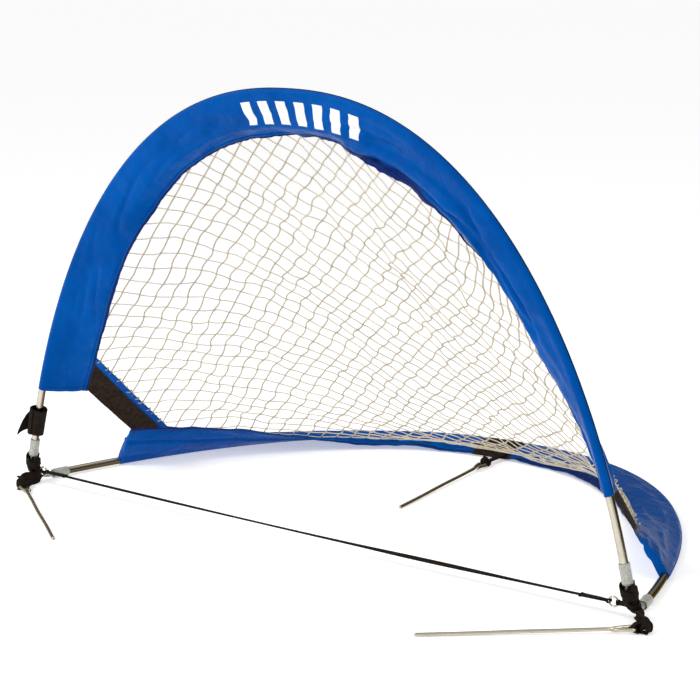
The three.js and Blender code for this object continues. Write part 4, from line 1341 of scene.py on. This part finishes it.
# strap across the mouth, level but for one lazy turn of its edge, with a stitched end loop through each ring
STRAP_TWIST = (0.58, 0.92)
strap_ends = [ring_centres[s] + vec(sign * RING_RADIUS, 0, 0)
              for s, sign in (("left", 1), ("right", -1))]
t = np.linspace(0, 1, 300)
line = lerp(strap_ends[0], strap_ends[1], t[:, None])
line[:, 2] -= 0.004 * np.sin(math.pi * t)
part = np.clip((t - STRAP_TWIST[0]) / (STRAP_TWIST[1] - STRAP_TWIST[0]), 0, 1)
turn = (0.45 * np.sin(math.pi * part) ** 2 + 0.10 * np.sin(11 * t)) * np.sin(math.pi * t)
wide = np.stack([0 * t, np.cos(turn), np.sin(turn)], 1)
thin = np.stack([0 * t, -np.sin(turn), np.cos(turn)], 1)
strap = Shape()
add_strip(strap, line[4:-4], wide[4:-4], thin[4:-4], 0.0095, 0.0012)
for wire, sign in zip(strap_ends, (1, -1)):
    common = dict(layer=vec(0, 0, 1), wide=vec(0, 1, 0), pull=0.004)
    belt(strap, dict(centre=wire, radius=RING_WIRE + 0.0012, to=vec(sign, 0, 0), width=0.0085,
                     steps=26, **common),
         dict(centre=wire + vec(sign * 0.046, 0, -0.0003), radius=0.0019, to=vec(-sign, 0, 0),
              width=0.0112, steps=8, **common))
    for across in (-0.0042, 0.0042):
        run = [wire + vec(sign * x, 0, 0.0018) for x in (0.012, 0.044)]
        stitches_along(strap, run if sign > 0 else run[::-1], vec(0, 1, 0), across)
put(strap.build("mouth_webbing", [LOOKS["webbing"], LOOKS["dark_thread"]]), "ground_frame",
    "mouth_strap", slot="black_webbing")

# ---- storage strap on the left upright tube -----------------------------------------------------
at = STORAGE_STRAP_AT + np.linspace(-0.5, 0.5, 16) * STORAGE_STRAP_HEIGHT
p, n, b = arch("upper", at)
axis = unit(p[-1] - p[0])
cuff = Shape()
turns = 1.28
angles = np.linspace(0, turns * 2 * math.pi, 80) + math.pi * 0.95
corners = 1 + 0.035 * np.cos(3 * angles + 0.4)
spiral = (STORAGE_STRAP_RADIUS - 0.0012 + 0.0022 * np.linspace(0, 1, 80) ** 2) * corners
sheet = np.zeros((16, 80, 3))
for j, (a, r) in enumerate(zip(angles, spiral)):
    flare = 1 + 0.04 * np.linspace(-1, 1, 16)
    sheet[:, j] = p + (n * math.cos(a) + b * math.sin(a)) * (r * flare)[:, None]
thick_grid(cuff, sheet, 0.0007)
for row in (1, 14):
    stitches_along(cuff, sheet[row][::2], axis, 0.0)
put(cuff.build("storage_cuff", [LOOKS["webbing"], LOOKS["dark_thread"]]), "storage_strap",
    "storage_strap", slot="black_webbing")

root = arch("upper", STORAGE_STRAP_AT)[0][0] + vec(-STORAGE_STRAP_RADIUS - 0.0027, 0, 0)
tab = Shape()
grid = np.zeros((26, 14, 3))
for i in range(26):
    s = i / 25
    width = 0.018 * (1 - 0.8 * s ** 1.6)
    c = root + vec(-0.35, -0.75, 0) * 0.030 * s - vec(0, 0, 0.018 * s * s + 0.004 * s)
    for j in range(14):
        k = 2 * j / 13 - 1
        grid[i, j] = c + axis * k * width + vec(-0.9, 0.4, 0) * 0.0012 * math.sin(3 * s + k)
thick_grid(tab, grid, 0.0009)
put(tab.build("storage_tab_end", [LOOKS["webbing"]]), "storage_tab", "storage_tab",
    slot="black_webbing")

# ---- floor and light ----------------------------------------------------------------------------
floor_mesh = bpy.data.meshes.new("floor")
FLOOR = 60
floor_mesh.from_pydata([(-FLOOR, -FLOOR, 0), (FLOOR, -FLOOR, 0), (FLOOR, FLOOR, 0),
                        (-FLOOR, FLOOR, 0)], [], [(0, 1, 2, 3)])
floor_mesh.materials.append(LOOKS["floor"])
floor = bpy.data.objects.new("floor", floor_mesh)
bpy.context.scene.collection.objects.link(floor)
floor.location.z = -0.0006
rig.stage(floor)

# a white studio, darker on the right and at the back so that tubes and folds show
world = bpy.data.worlds.new("studio")
world.use_nodes = True
tree = world.node_tree
sky = tree.nodes["Background"]
sky.inputs["Strength"].default_value = 1.0
place = tree.nodes.new("ShaderNodeTexCoord")


def sky_shade(direction, low, high, near, far):
    """Brightness of the sky by how far it lies towards a direction."""
    aim = tree.nodes.new("ShaderNodeVectorMath")
    aim.operation = "DOT_PRODUCT"
    aim.inputs[1].default_value = direction
    shade = tree.nodes.new("ShaderNodeMapRange")
    shade.inputs["From Min"].default_value, shade.inputs["From Max"].default_value = low, high
    shade.inputs["To Min"].default_value, shade.inputs["To Max"].default_value = near, far
    tree.links.new(place.outputs["Generated"], aim.inputs[0])
    tree.links.new(aim.outputs["Value"], shade.inputs["Value"])
    return shade.outputs["Result"]


both = tree.nodes.new("ShaderNodeMath")
both.operation = "MULTIPLY"
for socket, shade in zip(both.inputs, (
        sky_shade((math.cos(CAMERA_YAW), math.sin(CAMERA_YAW), 0), 0.40, 0.85, 0.76, 0.05),
        sky_shade((-math.sin(CAMERA_YAW), math.cos(CAMERA_YAW), 0), 0.35, 0.95, 1.0, 0.25))):
    tree.links.new(shade, socket)
tree.links.new(both.outputs[0], sky.inputs["Color"])
bpy.context.scene.world = world
bpy.context.scene.view_settings.view_transform = "Standard"


def softbox(name, place, aim, size, power):
    light = bpy.data.lights.new(name, "AREA")
    light.shape = "RECTANGLE"
    light.size, light.size_y = size
    light.energy = power
    lamp = bpy.data.objects.new(name, light)
    bpy.context.scene.collection.objects.link(lamp)
    lamp.location = place
    lamp.rotation_euler = (Vector(aim) - Vector(place)).to_track_quat("-Z", "Y").to_euler()


softbox("key", (-1.4, -2.4, 2.8), (0, 0, 0.3), (1.2, 0.9), 60)
softbox("right", (2.6, -0.6, 2.0), (0.2, 0, 0.4), (0.5, 1.4), 14)

low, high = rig.bounds()
with open("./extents.json", "w") as f:
    json.dump({"cad": [list(cad_box[0]), list(cad_box[1])], "visual": [list(low), list(high)]}, f)
